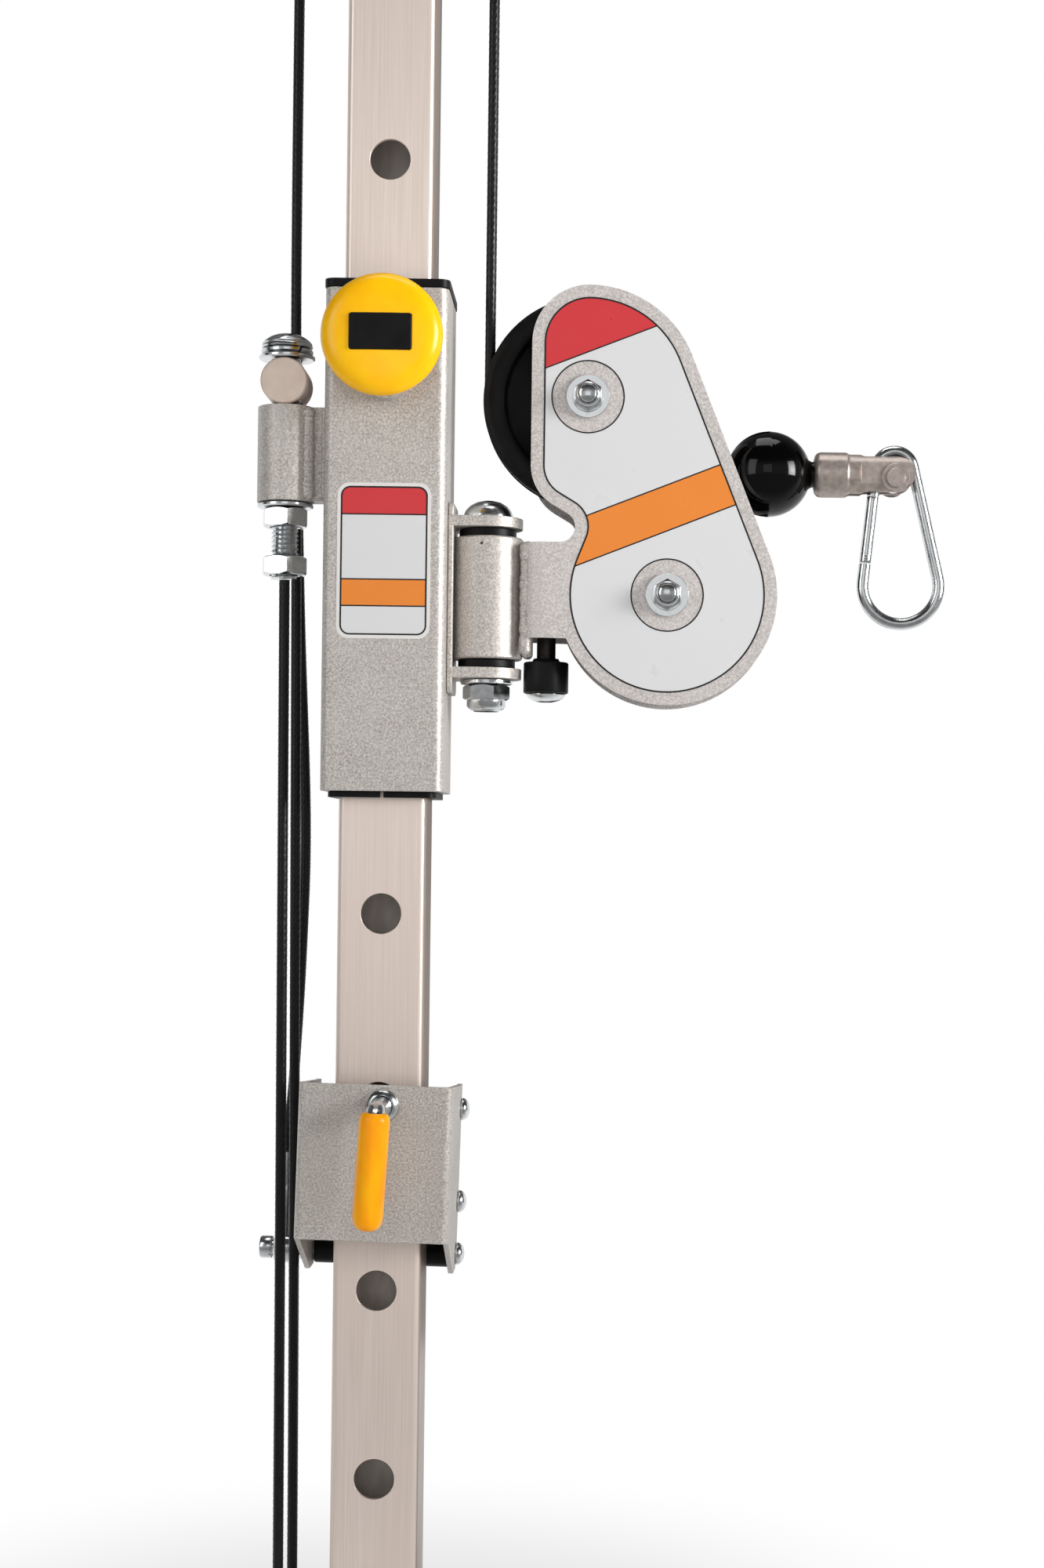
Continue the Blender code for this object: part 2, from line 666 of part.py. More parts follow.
def make_pull_pin():
    """The sprung pin and knob, drawn clear of the column, with the barrel that guides them."""
    face = SLEEVE_SIDE / 2 + GAP
    bore = PIN_RADIUS + BORE_GAP
    end = face + PIN_BARREL_LENGTH
    barrel = turned(
        [
            (bore, end),
            (PIN_BARREL_RADIUS - 0.0015, end),
            (PIN_BARREL_RADIUS, end - 0.0015),
            (PIN_BARREL_RADIUS, face),
            (bore, face),
        ]
    )
    guide = solid("pin_barrel", faced(barrel, "Y"), SILVER_PAINT, carriage)
    lug = rod(PIN_LUG_RADIUS, PIN_BARREL_LENGTH - 0.002, 20)
    place = (0.0, -face - (PIN_BARREL_LENGTH - 0.002) / 2, -PIN_LUG_DROP)
    boolean(guide, faced(lug, "Y"), "UNION", place)

    tip = COLUMN_SIDE / 2 + GAP
    back = end + KNOB_CLEARANCE + PIN_TRAVEL
    root = back + 0.006
    pin = turned(
        [
            (0.0, root),
            (PIN_RADIUS, root),
            (PIN_RADIUS, tip + 0.002),
            (PIN_RADIUS - 0.002, tip),
            (0.0, tip),
        ],
        24,
    )
    solid("pull_pin", faced(pin, "Y"), ZINC, pin_axis)
    front = back + KNOB_THICKNESS
    socket = PIN_RADIUS + GAP
    dome = [
        (KNOB_RADIUS * math.sin(angle), front - KNOB_DOME * (1 - math.cos(angle)) / (1 - math.cos(1.25)))
        for angle in (1.25 * i / 6 for i in range(1, 7))
    ]
    rim = dome[-1][1]
    knob = turned(
        [
            (0.0, front),
            *dome,
            (KNOB_RADIUS, rim - 0.0015),
            (KNOB_RADIUS - 0.0006, back + 0.002),
            (KNOB_RADIUS - 0.0026, back),
            (socket, back),
            (socket, root + GAP),
            (0.0, root + GAP),
        ],
        40,
    )
    grip = solid("pull_knob", faced(knob, "Y"), YELLOW, pin_axis)
    seat = INLAY_THICKNESS + 0.0022
    inlay_loop = rounded(*INLAY_SIZE, 0.0008, 2)
    pocket_loop = rounded(INLAY_SIZE[0] + 2 * GAP, INLAY_SIZE[1] + 2 * GAP, 0.0008 + GAP, 2)
    boolean(grip, faced(flat([pocket_loop], 0.02), "Y"), "DIFFERENCE", (0.0, -front + seat - 0.01, 0.0))
    place = (0.0, -front + seat - GAP - INLAY_THICKNESS / 2 - 0.0011, 0.0)
    inlay = faced(flat([inlay_loop], INLAY_THICKNESS + 0.0022), "Y")
    solid("knob_inlay", inlay, BLACK_PLASTIC, pin_axis, place)


def make_anchor():
    """The barrel welded to the sleeve, with the adjuster stud that hangs in it on a trunnion."""
    bore = STUD_RADIUS + BORE_GAP
    low = ANCHOR_TOP - ANCHOR_LENGTH
    middle = (ANCHOR_TOP + low) / 2
    profile = [
        (bore, ANCHOR_LENGTH / 2),
        (ANCHOR_RADIUS, ANCHOR_LENGTH / 2),
        (ANCHOR_RADIUS, -ANCHOR_LENGTH / 2),
        (bore, -ANCHOR_LENGTH / 2),
    ]
    place = (ANCHOR_X, ANCHOR_Y, middle)
    anchor = solid("anchor_barrel", turned(profile), SILVER_PAINT, carriage, place)
    inner_x = ANCHOR_RADIUS - 0.003
    sleeve_x = -SLEEVE_SIDE / 2 - GAP - ANCHOR_X
    half = ANCHOR_LENGTH / 2 - 0.0006
    web = flat([[(inner_x, -half), (sleeve_x, -half), (sleeve_x, half), (inner_x, half)]], WEB_DEPTH)
    boolean(anchor, faced(web, "Y"), "UNION")

    trunnion_z = ANCHOR_TOP + GAP + TRUNNION_RADIUS
    cross_rod = faced(rod(TRUNNION_RADIUS, TRUNNION_LENGTH), "Y")
    cross = bevelled(
        solid("trunnion", cross_rod, NICKEL, carriage, (ANCHOR_X, ANCHOR_Y, trunnion_z)),
        0.0007,
        1,
    )
    drill(cross, bore, 3 * TRUNNION_RADIUS, (0.0, 0.0, 0.0), "Z", 24)
    washer_z = trunnion_z + TRUNNION_RADIUS + GAP + WASHER_THICKNESS / 2
    head_z = washer_z + WASHER_THICKNESS / 2 + GAP
    dome_z = head_z + STUD_FLANGE_THICKNESS + 0.0011
    ring = washer(WASHER_RADIUS, bore, WASHER_THICKNESS)
    solid("adjuster_washer", ring, ZINC, carriage, (ANCHOR_X, ANCHOR_Y, washer_z))
    stud = turned(
        [
            (0.0, head_z + STUD_HEAD_HEIGHT),
            *[
                (STUD_HEAD_RADIUS * math.sin(a), dome_z + (head_z + STUD_HEAD_HEIGHT - dome_z) * math.cos(a))
                for a in (math.radians(angle) for angle in (20, 40, 60, 75))
            ],
            (STUD_HEAD_RADIUS, dome_z),
            (STUD_HEAD_RADIUS - 0.0008, dome_z - 0.0004),
            (STUD_HEAD_RADIUS - 0.0008, dome_z - 0.0007),
            (STUD_FLANGE_RADIUS, dome_z - 0.0011),
            (STUD_FLANGE_RADIUS, head_z + 0.0008),
            (STUD_FLANGE_RADIUS - 0.0008, head_z),
            (STUD_RADIUS, head_z),
            (STUD_RADIUS, STUD_END + 0.001),
            (STUD_RADIUS - 0.001, STUD_END),
            (0.0, STUD_END),
        ]
    )
    solid("adjuster_stud", stud, ZINC, carriage, (ANCHOR_X, ANCHOR_Y, 0.0))
    under_z = low - GAP - WASHER_THICKNESS / 2
    ring = washer(WASHER_RADIUS, bore, WASHER_THICKNESS)
    solid("adjuster_lower_washer", ring, ZINC, carriage, (ANCHOR_X, ANCHOR_Y, under_z))
    nut_z = under_z - WASHER_THICKNESS / 2 - GAP - NUT_HEIGHT / 2
    lean = (0.0, 0.0, math.radians(12))
    for name, drop in (("adjuster_nut", 0.0), ("adjuster_locknut", NUT_SPACING)):
        place = (ANCHOR_X, ANCHOR_Y, nut_z - drop)
        nut(name, NUT_FLATS, STUD_RADIUS + GAP, NUT_HEIGHT, ZINC, carriage, place, turn=lean)


def make_adjuster_cable():
    """The cable that hangs from the stud, down through the foot plate's hole."""
    top = STUD_END - GAP
    bottom = GAP - PIN_Z
    points = straight(
        (adjuster_x(PIN_Z + top), ANCHOR_Y, top), (adjuster_x(GAP), ANCHOR_Y, bottom), 12
    )
    tube("adjuster_cable", points, CABLE_RADIUS, CABLE_JACKET, carriage)


def make_bracket():
    """The U-shaped bracket on the sleeve's right side, with the pivot bolt through its ears."""
    back = SLEEVE_SIDE / 2 + GAP - PIVOT_X
    reach = (BARREL_LENGTH / 2) + BUSH_FLANGE_THICKNESS + 2 * GAP
    height = BRACKET_TOP - BRACKET_BOTTOM
    offset = (BRACKET_TOP + BRACKET_BOTTOM) / 2
    window = [(y, z - offset) for y, z in rounded(BRACKET_WINDOW, BARREL_LENGTH + 0.002, 0.003, 3)]
    plate = bevelled(
        solid(
            "pivot_bracket",
            faced(flat([rounded(2 * EAR_RADIUS, height, 0.004, 3), window], BRACKET_WALL), "X"),
            SILVER_PAINT,
            carriage,
            (PIVOT_X + back + BRACKET_WALL / 2, 0.0, PIVOT_Z + (BRACKET_TOP + BRACKET_BOTTOM) / 2),
        ),
        0.0006,
        1,
    )
    ear_loop = [
        (back + 0.001, -EAR_RADIUS),
        *arc((0.0, 0.0), EAR_RADIUS, -90, 90, 12),
        (back + 0.001, EAR_RADIUS),
    ]
    shift_x = -(back + BRACKET_WALL / 2)
    shift_z = -(BRACKET_TOP + BRACKET_BOTTOM) / 2
    bore = circle(PIVOT_RADIUS + BORE_GAP, 24)
    for sign in (1, -1):
        ear = flat([ear_loop, bore], EAR_THICKNESS)
        boolean(plate, ear, "UNION", (shift_x, 0.0, shift_z + sign * (reach + EAR_THICKNESS / 2)))

    head = reach + EAR_THICKNESS + GAP
    washer_z = -head - PIVOT_WASHER_THICKNESS / 2
    nut_z = washer_z - PIVOT_WASHER_THICKNESS / 2 - GAP - PIVOT_NUT_HEIGHT / 2
    tip = nut_z - PIVOT_NUT_HEIGHT / 2 - 0.001
    bolt = turned(
        [
            (0.0, head + PIVOT_HEAD_HEIGHT),
            *[
                (PIVOT_HEAD_RADIUS * math.sin(a), head + PIVOT_HEAD_HEIGHT * math.cos(a))
                for a in (math.radians(15 * i) for i in range(1, 6))
            ],
            (PIVOT_HEAD_RADIUS, head + 0.0008),
            (PIVOT_HEAD_RADIUS - 0.0006, head),
            (PIVOT_RADIUS, head),
            (PIVOT_RADIUS, tip + 0.001),
            (PIVOT_RADIUS - 0.001, tip),
            (0.0, tip),
        ]
    )
    at = (PIVOT_X, 0.0, PIVOT_Z)
    solid("pivot_bolt", bolt, ZINC, carriage, at)
    place = (PIVOT_X, 0.0, PIVOT_Z + washer_z)
    ring = washer(PIVOT_WASHER_RADIUS, PIVOT_RADIUS + GAP, PIVOT_WASHER_THICKNESS)
    solid("pivot_washer", ring, ZINC, carriage, place)
    place = (PIVOT_X, 0.0, PIVOT_Z + nut_z)
    nut("pivot_nut", PIVOT_NUT_FLATS, PIVOT_RADIUS + GAP, PIVOT_NUT_HEIGHT, ZINC, carriage, place)
    for name, sign in (("upper_pivot_bushing", 1), ("lower_pivot_bushing", -1)):
        inner = PIVOT_RADIUS + BORE_GAP
        seat = BARREL_LENGTH / 2 + GAP
        bush = turned(
            [
                (inner, seat + BUSH_FLANGE_THICKNESS),
                (BUSH_FLANGE_RADIUS, seat + BUSH_FLANGE_THICKNESS),
                (BUSH_FLANGE_RADIUS, seat),
                (BARREL_BORE - BORE_GAP, seat),
                (BARREL_BORE - BORE_GAP, seat - BUSH_DEPTH),
                (inner, seat - BUSH_DEPTH),
            ]
        )
        turn = (0.0, 0.0, 0.0) if sign > 0 else (math.radians(180), 0.0, 0.0)
        solid(name, bush, BLACK_PLASTIC, carriage, at, turn)


def plate_outline():
    """The pulley housing's outline, from the arm's bend round both lobes and back, in (x, z)."""
    along = Vector(AXLE_LOW) - Vector(AXLE_TOP)
    edge = math.degrees(math.atan2(along.x, -along.y))
    shoulder = (PLATE_EDGE_X + SHOULDER_RADIUS, AXLE_TOP[1] + LOBE_TOP_RADIUS - SHOULDER_RADIUS)
    drop = ARM_BOTTOM - AXLE_LOW[1]
    meet = 180 - math.degrees(math.asin(drop / LOBE_LOW_RADIUS))
    bend = bend_centre()[0]
    return [
        *arc(AXLE_TOP, LOBE_TOP_RADIUS, edge, 88, 7),
        *arc(shoulder, SHOULDER_RADIUS, 92, 180, 7),
        *arc(BULGE_CENTRE, BULGE_RADIUS, 180, 232, 5),
        *arc(NOTCH_CENTRE, NOTCH_RADIUS, 62, -90, 9),
        (bend, ARM_TOP),
        (bend, ARM_BOTTOM),
        *arc(AXLE_LOW, LOBE_LOW_RADIUS, meet, 360 + edge, 18),
    ]


def bend_centre():
    """Centre of the front arm's bend in (x, y), so that the bent strip lands on the barrel."""
    middle_y = -(HOUSING_GAP + HOUSING_WALL) / 2
    y = middle_y + ARM_BEND_RADIUS
    surface = math.sqrt(BARREL_RADIUS**2 - y**2)
    return surface + GAP + ARM_BEND_RADIUS + HOUSING_WALL / 2, y


def make_housing():
    """The swivel barrel and the two plates whose arms bend in to meet it."""
    profile = [
        (BARREL_BORE, BARREL_LENGTH / 2),
        (BARREL_RADIUS - 0.0008, BARREL_LENGTH / 2),
        (BARREL_RADIUS, BARREL_LENGTH / 2 - 0.0008),
        (BARREL_RADIUS, 0.0008 - BARREL_LENGTH / 2),
        (BARREL_RADIUS - 0.0008, -BARREL_LENGTH / 2),
        (BARREL_BORE, -BARREL_LENGTH / 2),
    ]
    solid("swivel_barrel", turned(profile), SILVER_PAINT, swivel)
    centre, y = bend_centre()
    outer = ARM_BEND_RADIUS + HOUSING_WALL / 2
    inner = ARM_BEND_RADIUS - HOUSING_WALL / 2
    arm_height = ARM_TOP - ARM_BOTTOM
    for name, sign in (("housing_front_plate", 1), ("housing_back_plate", -1)):
        holes = [circle(AXLE_RADIUS + BORE_GAP, 20, axle) for axle in (AXLE_TOP, AXLE_LOW)]
        mesh = faced(flat([plate_outline(), *holes], HOUSING_WALL), "Y")
        place = (0.0, -sign * (HOUSING_GAP + HOUSING_WALL) / 2, 0.0)
        plate = solid(name, mesh, SILVER_PAINT, swivel, place)
        overlap = 0.002
        strip = [
            *arc((centre, sign * y), outer, 180, 180 + sign * 90, 6),
            (centre + overlap, sign * (y - outer)),
            (centre + overlap, sign * (y - inner)),
            *arc((centre, sign * y), inner, 180 + sign * 90, 180, 6),
        ]
        shift = (0.0, -place[1], (ARM_TOP + ARM_BOTTOM) / 2)
        boolean(plate, flat([strip], arm_height), "UNION", shift)


def make_axle(name, frame):
    """One pulley axle: a bolt from the back, its spacer sleeve, and a washer and nut in front."""
    face = PLATE_Y + GAP
    washer_y = face + AXLE_WASHER_THICKNESS / 2
    nut_y = face + AXLE_WASHER_THICKNESS + GAP + AXLE_NUT_HEIGHT / 2
    tip = nut_y + AXLE_NUT_HEIGHT / 2 + AXLE_TIP
    bolt = turned(
        [
            (0.0, tip),
            (AXLE_RADIUS - 0.0008, tip),
            (AXLE_RADIUS, tip - 0.0008),
            (AXLE_RADIUS, -face),
            (AXLE_WASHER_RADIUS, -face),
            (AXLE_WASHER_RADIUS, -face - AXLE_WASHER_THICKNESS),
            (0.0, -face - AXLE_WASHER_THICKNESS),
        ]
    )
    obj = solid(f"{name}_axle_bolt", faced(bolt, "Y"), ZINC, swivel, frame.location)
    head = flat([hexagon(AXLE_NUT_FLATS)], AXLE_NUT_HEIGHT)
    depth = face + AXLE_WASHER_THICKNESS + AXLE_NUT_HEIGHT / 2 - 0.001
    boolean(obj, faced(head, "Y"), "UNION", (0.0, depth, 0.0))
    shift = Vector(frame.location)
    ring = washer(AXLE_WASHER_RADIUS, AXLE_RADIUS + GAP, AXLE_WASHER_THICKNESS)
    solid(f"{name}_axle_washer", faced(ring, "Y"), ZINC, swivel, shift + Vector((0.0, -washer_y, 0.0)))
    place = shift + Vector((0.0, -nut_y, 0.0))
    nut(f"{name}_axle_nut", AXLE_NUT_FLATS, AXLE_RADIUS + GAP, AXLE_NUT_HEIGHT, ZINC, swivel, place, "Y")
    sleeve = washer(AXLE_RADIUS + GAP + AXLE_SLEEVE_WALL, AXLE_RADIUS + GAP, HOUSING_GAP - 2 * GAP)
    solid(f"{name}_axle_sleeve", faced(sleeve, "Y"), ZINC, swivel, shift)


def make_pulley(name, frame):
    """A moulded pulley turned from one profile: hub, thin web, and a rim with a round-bottomed groove."""
    root = PULLEY_PITCH_RADIUS - CABLE_RADIUS - GAP
    bore = AXLE_RADIUS + GAP + AXLE_SLEEVE_WALL + BORE_GAP
    inner_rim = PULLEY_RADIUS - RIM_DEPTH
    groove = [
        (PULLEY_PITCH_RADIUS - (CABLE_RADIUS + GAP) * math.cos(a), (CABLE_RADIUS + GAP) * math.sin(a))
        for a in (math.radians(angle) for angle in (50, 0, -50))
    ]
    profile = [
        (bore, HUB_HALF_WIDTH),
        (HUB_RADIUS, HUB_HALF_WIDTH),
        (HUB_RADIUS + 0.001, WEB_HALF_WIDTH),
        (inner_rim, WEB_HALF_WIDTH),
        (inner_rim + 0.001, RIM_HALF_WIDTH),
        (PULLEY_RADIUS - RIM_BEVEL, RIM_HALF_WIDTH),
        (PULLEY_RADIUS, GROOVE_HALF_WIDTH),
        *groove,
        (PULLEY_RADIUS, -GROOVE_HALF_WIDTH),
        (PULLEY_RADIUS - RIM_BEVEL, -RIM_HALF_WIDTH),
        (inner_rim + 0.001, -RIM_HALF_WIDTH),
        (inner_rim, -WEB_HALF_WIDTH),
        (HUB_RADIUS + 0.001, -WEB_HALF_WIDTH),
        (HUB_RADIUS, -HUB_HALF_WIDTH),
        (bore, -HUB_HALF_WIDTH),
    ]
    assert root < inner_rim + RIM_DEPTH
    solid(name, faced(turned(profile, 36), "Y"), BLACK_PLASTIC, frame)


def make_index_plunger():
    """The block between the arms and the pull-down plunger in it."""
    centre, y = bend_centre()
    wide = HOUSING_GAP / 2 - GAP
    narrow = wide - 0.007
    left = centre - 0.006
    right = AXLE_LOW[0] - PULLEY_RADIUS - 0.0012
    near = [(left, -narrow), (centre, -wide), (right, -wide)]
    outline = [*near, *[(x, -y) for x, y in reversed(near)]]
    middle = (BLOCK_TOP + BLOCK_BOTTOM) / 2
    shape = flat([outline], BLOCK_TOP - BLOCK_BOTTOM)
    guide = solid("plunger_block", shape, ZINC, swivel, (0.0, 0.0, middle))
    drill(guide, PLUNGER_STEM_RADIUS + BORE_GAP, 0.1, (PLUNGER_X, 0.0, 0.0), "Z", 20)
    knob_low = PLUNGER_KNOB_TOP - PLUNGER_KNOB_LENGTH
    stem = turned(
        [
            (0.0, BLOCK_BOTTOM + PLUNGER_PIN_LENGTH),
            (PLUNGER_STEM_RADIUS - 0.001, BLOCK_BOTTOM + PLUNGER_PIN_LENGTH),
            (PLUNGER_STEM_RADIUS, BLOCK_BOTTOM + PLUNGER_PIN_LENGTH - 0.001),
            (PLUNGER_STEM_RADIUS, knob_low - 0.0006),
            (PLUNGER_KNOB_RADIUS - 0.0018, knob_low - 0.0006),
            (PLUNGER_KNOB_RADIUS - 0.0060, knob_low - 0.0006 - 0.75 * PLUNGER_DOME_HEIGHT),
            (0.0, knob_low - 0.0006 - PLUNGER_DOME_HEIGHT),
        ],
        24,
    )
    solid("index_plunger", stem, ZINC, plunger_axis)
    bore = PLUNGER_STEM_RADIUS + GAP
    knob = turned(
        [
            (bore, PLUNGER_KNOB_TOP + 0.0022),
            (PLUNGER_STEM_RADIUS + 0.0016, PLUNGER_KNOB_TOP + 0.0022),
            (PLUNGER_STEM_RADIUS + 0.0030, PLUNGER_KNOB_TOP),
            (PLUNGER_KNOB_RADIUS - 0.0006, PLUNGER_KNOB_TOP),
            (PLUNGER_KNOB_RADIUS, PLUNGER_KNOB_TOP - 0.0006),
            (PLUNGER_KNOB_RADIUS, knob_low + 0.0006),
            (PLUNGER_KNOB_RADIUS - 0.0006, knob_low),
            (bore, knob_low),
        ]
    )
    solid("index_plunger_knob", knob, BLACK_PLASTIC, plunger_axis)


def cable_angle():
    """Angle of the line from under the upper pulley to the ball's centre, over the horizontal."""
    reach = Vector(BALL_CENTRE) - Vector(AXLE_TOP)
    return math.asin(PULLEY_PITCH_RADIUS / reach.length) + math.atan2(reach.y, reach.x)


def make_pulley_cable():
    """The cable that comes down the swivel axis, round the upper pulley and out to the ball stop."""
    angle = cable_angle()
    left = AXLE_TOP[0] - PULLEY_PITCH_RADIUS
    top = CABLE_TOP - PIN_Z - PIVOT_Z
    wrap = arc(AXLE_TOP, PULLEY_PITCH_RADIUS, 180, 270 + math.degrees(angle), 16)
    points = [(left, 0.0, top), (left, 0.0, AXLE_TOP[1] + 0.06), *[(x, 0.0, z) for x, z in wrap]]
    tube("pulley_cable", points, CABLE_RADIUS, CABLE_JACKET, swivel)
    leave = Vector((wrap[-1][0], 0.0, wrap[-1][1]))
    out = Vector((math.cos(angle), 0.0, math.sin(angle)))
    ball = Vector((BALL_CENTRE[0], 0.0, BALL_CENTRE[1]))
    start = leave + out * GAP - ball
    end = -out * (BALL_RADIUS - 0.002)
    tube("cable_tail", straight(start, end, 6), CABLE_RADIUS, CABLE_JACKET, cable_end)


def make_cable_end():
    """The ball stop, the clevis with its pin, and the snap hook that hangs on it."""
    angle = cable_angle()
    shape = bmesh.new()
    bmesh.ops.create_uvsphere(shape, u_segments=28, v_segments=14, radius=BALL_RADIUS)
    mesh = bpy.data.meshes.new("ball")
    shape.to_mesh(mesh)
    shape.free()
    ball = solid("ball_stop", faced(mesh, "X"), GLOSS_BLACK, cable_end)
    neck = rod(NECK_RADIUS, 0.012, 20)
    boolean(ball, faced(neck, "X"), "UNION", (CLEVIS_START - GAP - 0.006, 0.0, 0.0))
    way = Vector((-math.cos(angle), 0.0, -math.sin(angle)))
    bore = rod(CABLE_RADIUS + GAP, 0.02, 16)
    tilt = (0.0, math.radians(90) - angle, 0.0)
    boolean(ball, bore, "DIFFERENCE", way * (BALL_RADIUS + 0.010 - 0.002 - GAP), tilt)

    reach = FORK_END_X
    body = turned(
        [
            (0.0, reach + 0.001),
            (CLEVIS_STEP_RADIUS, reach + 0.001),
            (CLEVIS_STEP_RADIUS, CLEVIS_START + CLEVIS_STEP + 0.001),
            (CLEVIS_RADIUS, CLEVIS_START + CLEVIS_STEP),
            (CLEVIS_RADIUS, CLEVIS_START + 0.0035),
            (CLEVIS_RADIUS - 0.0035, CLEVIS_START),
            (0.0, CLEVIS_START),
        ]
    )
    clevis = solid("clevis", faced(body, "X"), NICKEL, cable_end)
    waste = [
        (FORK_START, -0.02),
        (0.12, -0.02),
        (0.12, 0.02),
        (FORK_START, 0.02),
        (FORK_START, FORK_HALF_HEIGHT),
        *arc((FORK_END_X - FORK_HALF_HEIGHT, 0.0), FORK_HALF_HEIGHT, 90, -90, 12),
        (FORK_START, -FORK_HALF_HEIGHT),
    ]
    boolean(clevis, faced(flat([waste], 0.04), "Y"), "DIFFERENCE")
    slot_length = 0.1
    place = (FORK_START + 0.012 + slot_length / 2, 0.0, 0.0)
    boolean(clevis, block(slot_length, FORK_SLOT, 0.05), "DIFFERENCE", place)
    for sign in (1, -1):
        place = (FORK_START + slot_length / 2, sign * (FORK_HALF_DEPTH + 0.01), 0.0)
        boolean(clevis, block(slot_length, 0.02, 0.05), "DIFFERENCE", place)
    drill(clevis, FORK_PIN_RADIUS + BORE_GAP, 0.05, (FORK_PIN[0], 0.0, FORK_PIN[1]), "Y", 20)

    cheek = FORK_HALF_DEPTH + GAP
    pin = turned(
        [
            (0.0, cheek + 0.0024),
            (FORK_PIN_HEAD_RADIUS - 0.0006, cheek + 0.0024),
            (FORK_PIN_HEAD_RADIUS, cheek + 0.0018),
            (FORK_PIN_HEAD_RADIUS, cheek + 0.0010),
            (FORK_RING_RADIUS, cheek + 0.0010),
            (FORK_RING_RADIUS, cheek),
            (FORK_PIN_RADIUS, cheek),
            (FORK_PIN_RADIUS, -cheek),
            (FORK_RING_RADIUS, -cheek),
            (FORK_RING_RADIUS, -cheek - 0.0010),
            (0.0, -cheek - 0.0010),
        ],
        24,
    )
    solid("clevis_pin", faced(pin, "Y"), NICKEL, cable_end, (FORK_PIN[0], 0.0, FORK_PIN[1]))


def hook_legs():
    """The bends' centres and the angles at which both straight legs leave them, left then right."""
    top, low = Vector(HOOK_TOP_CENTRE), Vector(HOOK_LOW_CENTRE)
    span = low - top
    spread = math.acos((HOOK_TOP_RADIUS - HOOK_LOW_RADIUS) / span.length)
    heading = math.atan2(span.y, span.x)
    return top, low, math.degrees(heading - spread), math.degrees(heading + spread)


def make_carabiner():
    """A snap hook bent from round rod, open on its left leg, its eyelet on the clevis pin, and its gate."""
    top, low, left, right = hook_legs()
    left_top = Vector(arc(top, HOOK_TOP_RADIUS, left, left, 1)[0])
    left_low = Vector(arc(low, HOOK_LOW_RADIUS, left, left, 1)[0])

    def on_left_leg(height):
        return left_top.lerp(left_low, (height - left_top.y) / (left_low.y - left_top.y))

    nose, joint = on_left_leg(GATE_TOP_Z), on_left_leg(GATE_LOW_Z)
    path = [
        tuple(nose),
        *arc(top, HOOK_TOP_RADIUS, left + 360, right, 14),
        *arc(low, HOOK_LOW_RADIUS, right, left, 22),
        tuple(joint),
    ]
    body = tube("carabiner_body", [(x, 0.0, z) for x, z in path], ROD_RADIUS, ZINC, hook_axis)
    seat = HOOK_TOP_RADIUS - ROD_RADIUS + 0.0012
    eyelet = flat(
        [
            [
                (EYELET_RADIUS, 0.0),
                *arc(top, seat, 20, 160, 12),
                *arc((0.0, 0.0), EYELET_RADIUS, 180, 345, 14),
            ],
            circle(FORK_PIN_RADIUS + GAP, 20),
        ],
        EYELET_THICKNESS,
    )
    boolean(body, faced(eyelet, "Y"), "UNION")
    along = (joint - nose).normalized()
    start = nose + along * GATE_NOSE_GAP
    end = joint - along * GATE_JOINT_GAP
    gate_frame = empty("gate_axis", hook_axis, (end.x, 0.0, end.y))
    points = [(point.x - end.x, 0.0, point.y - end.y) for point in straight(start.to_3d(), end.to_3d(), 3)]
    tube("carabiner_gate", points, ROD_RADIUS, ZINC, gate_frame)


def make_channel():
    """The folded plate of the lower carriage: a front and two deeper cheeks."""
    half = CHANNEL_WIDTH / 2
    wall, bend = CHANNEL_WALL, CHANNEL_BEND
    outer = [
        (-half, CHANNEL_BACK),
        *arc((bend - half, CHANNEL_FRONT + bend), bend, 180, 270, 4),
        *arc((half - bend, CHANNEL_FRONT + bend), bend, 270, 360, 4),
        (half, CHANNEL_BACK),
    ]
    inner = [
        (half - wall, CHANNEL_BACK),
        *arc((half - bend, CHANNEL_FRONT + bend), bend - wall, 360, 270, 3),
        *arc((bend - half, CHANNEL_FRONT + bend), bend - wall, 270, 180, 3),
        (wall - half, CHANNEL_BACK),
    ]
    top = max(CHEEK_TOP, FRONT_TOP)
    height = top - CHEEK_BOTTOM
    middle = (top + CHEEK_BOTTOM) / 2
    channel = solid("lower_channel", flat([outer + inner], height), SILVER_PAINT, lower, (0.0, 0.0, middle))
    front, back = CHANNEL_FRONT - 0.01, CHANNEL_BACK + 0.01
    fold = CHANNEL_FRONT + bend
    side = [
        (front, FRONT_TOP),
        (front, FRONT_BOTTOM),
        (fold, FRONT_BOTTOM),
        (CHEEK_SLOPE_END, CHEEK_BOTTOM),
        (CHANNEL_BACK - CHEEK_CHAMFER, CHEEK_BOTTOM),
        (back, CHEEK_BOTTOM + CHEEK_FOOT_CHAMFER),
        (back, CHEEK_TOP),
        (CHANNEL_BACK - CHEEK_CHAMFER, CHEEK_TOP),
        (fold, FRONT_TOP),
    ]
    side = [(y, z - middle) for y, z in side]
    boolean(channel, faced(flat([side], 2 * CHANNEL_WIDTH), "X"), "INTERSECT")
    for y, z in cross_bolts():
        drill(channel, BOLT_RADIUS + BORE_GAP, 2 * CHANNEL_WIDTH, (0.0, y, z - middle), "X", 16)
    drill(channel, LATCH_ROD_RADIUS + BORE_GAP, 0.02, (LATCH_X, CHANNEL_FRONT, -middle), "Y", 20)


def cross_bolts():
    """(y, z) of the three bolts behind the column: the upper roller's, the stay and the lower roller's."""
    return tuple((ROLLER_Y, height) for height in (ROLLER_TOP_Z, STAY_Z, ROLLER_LOW_Z))


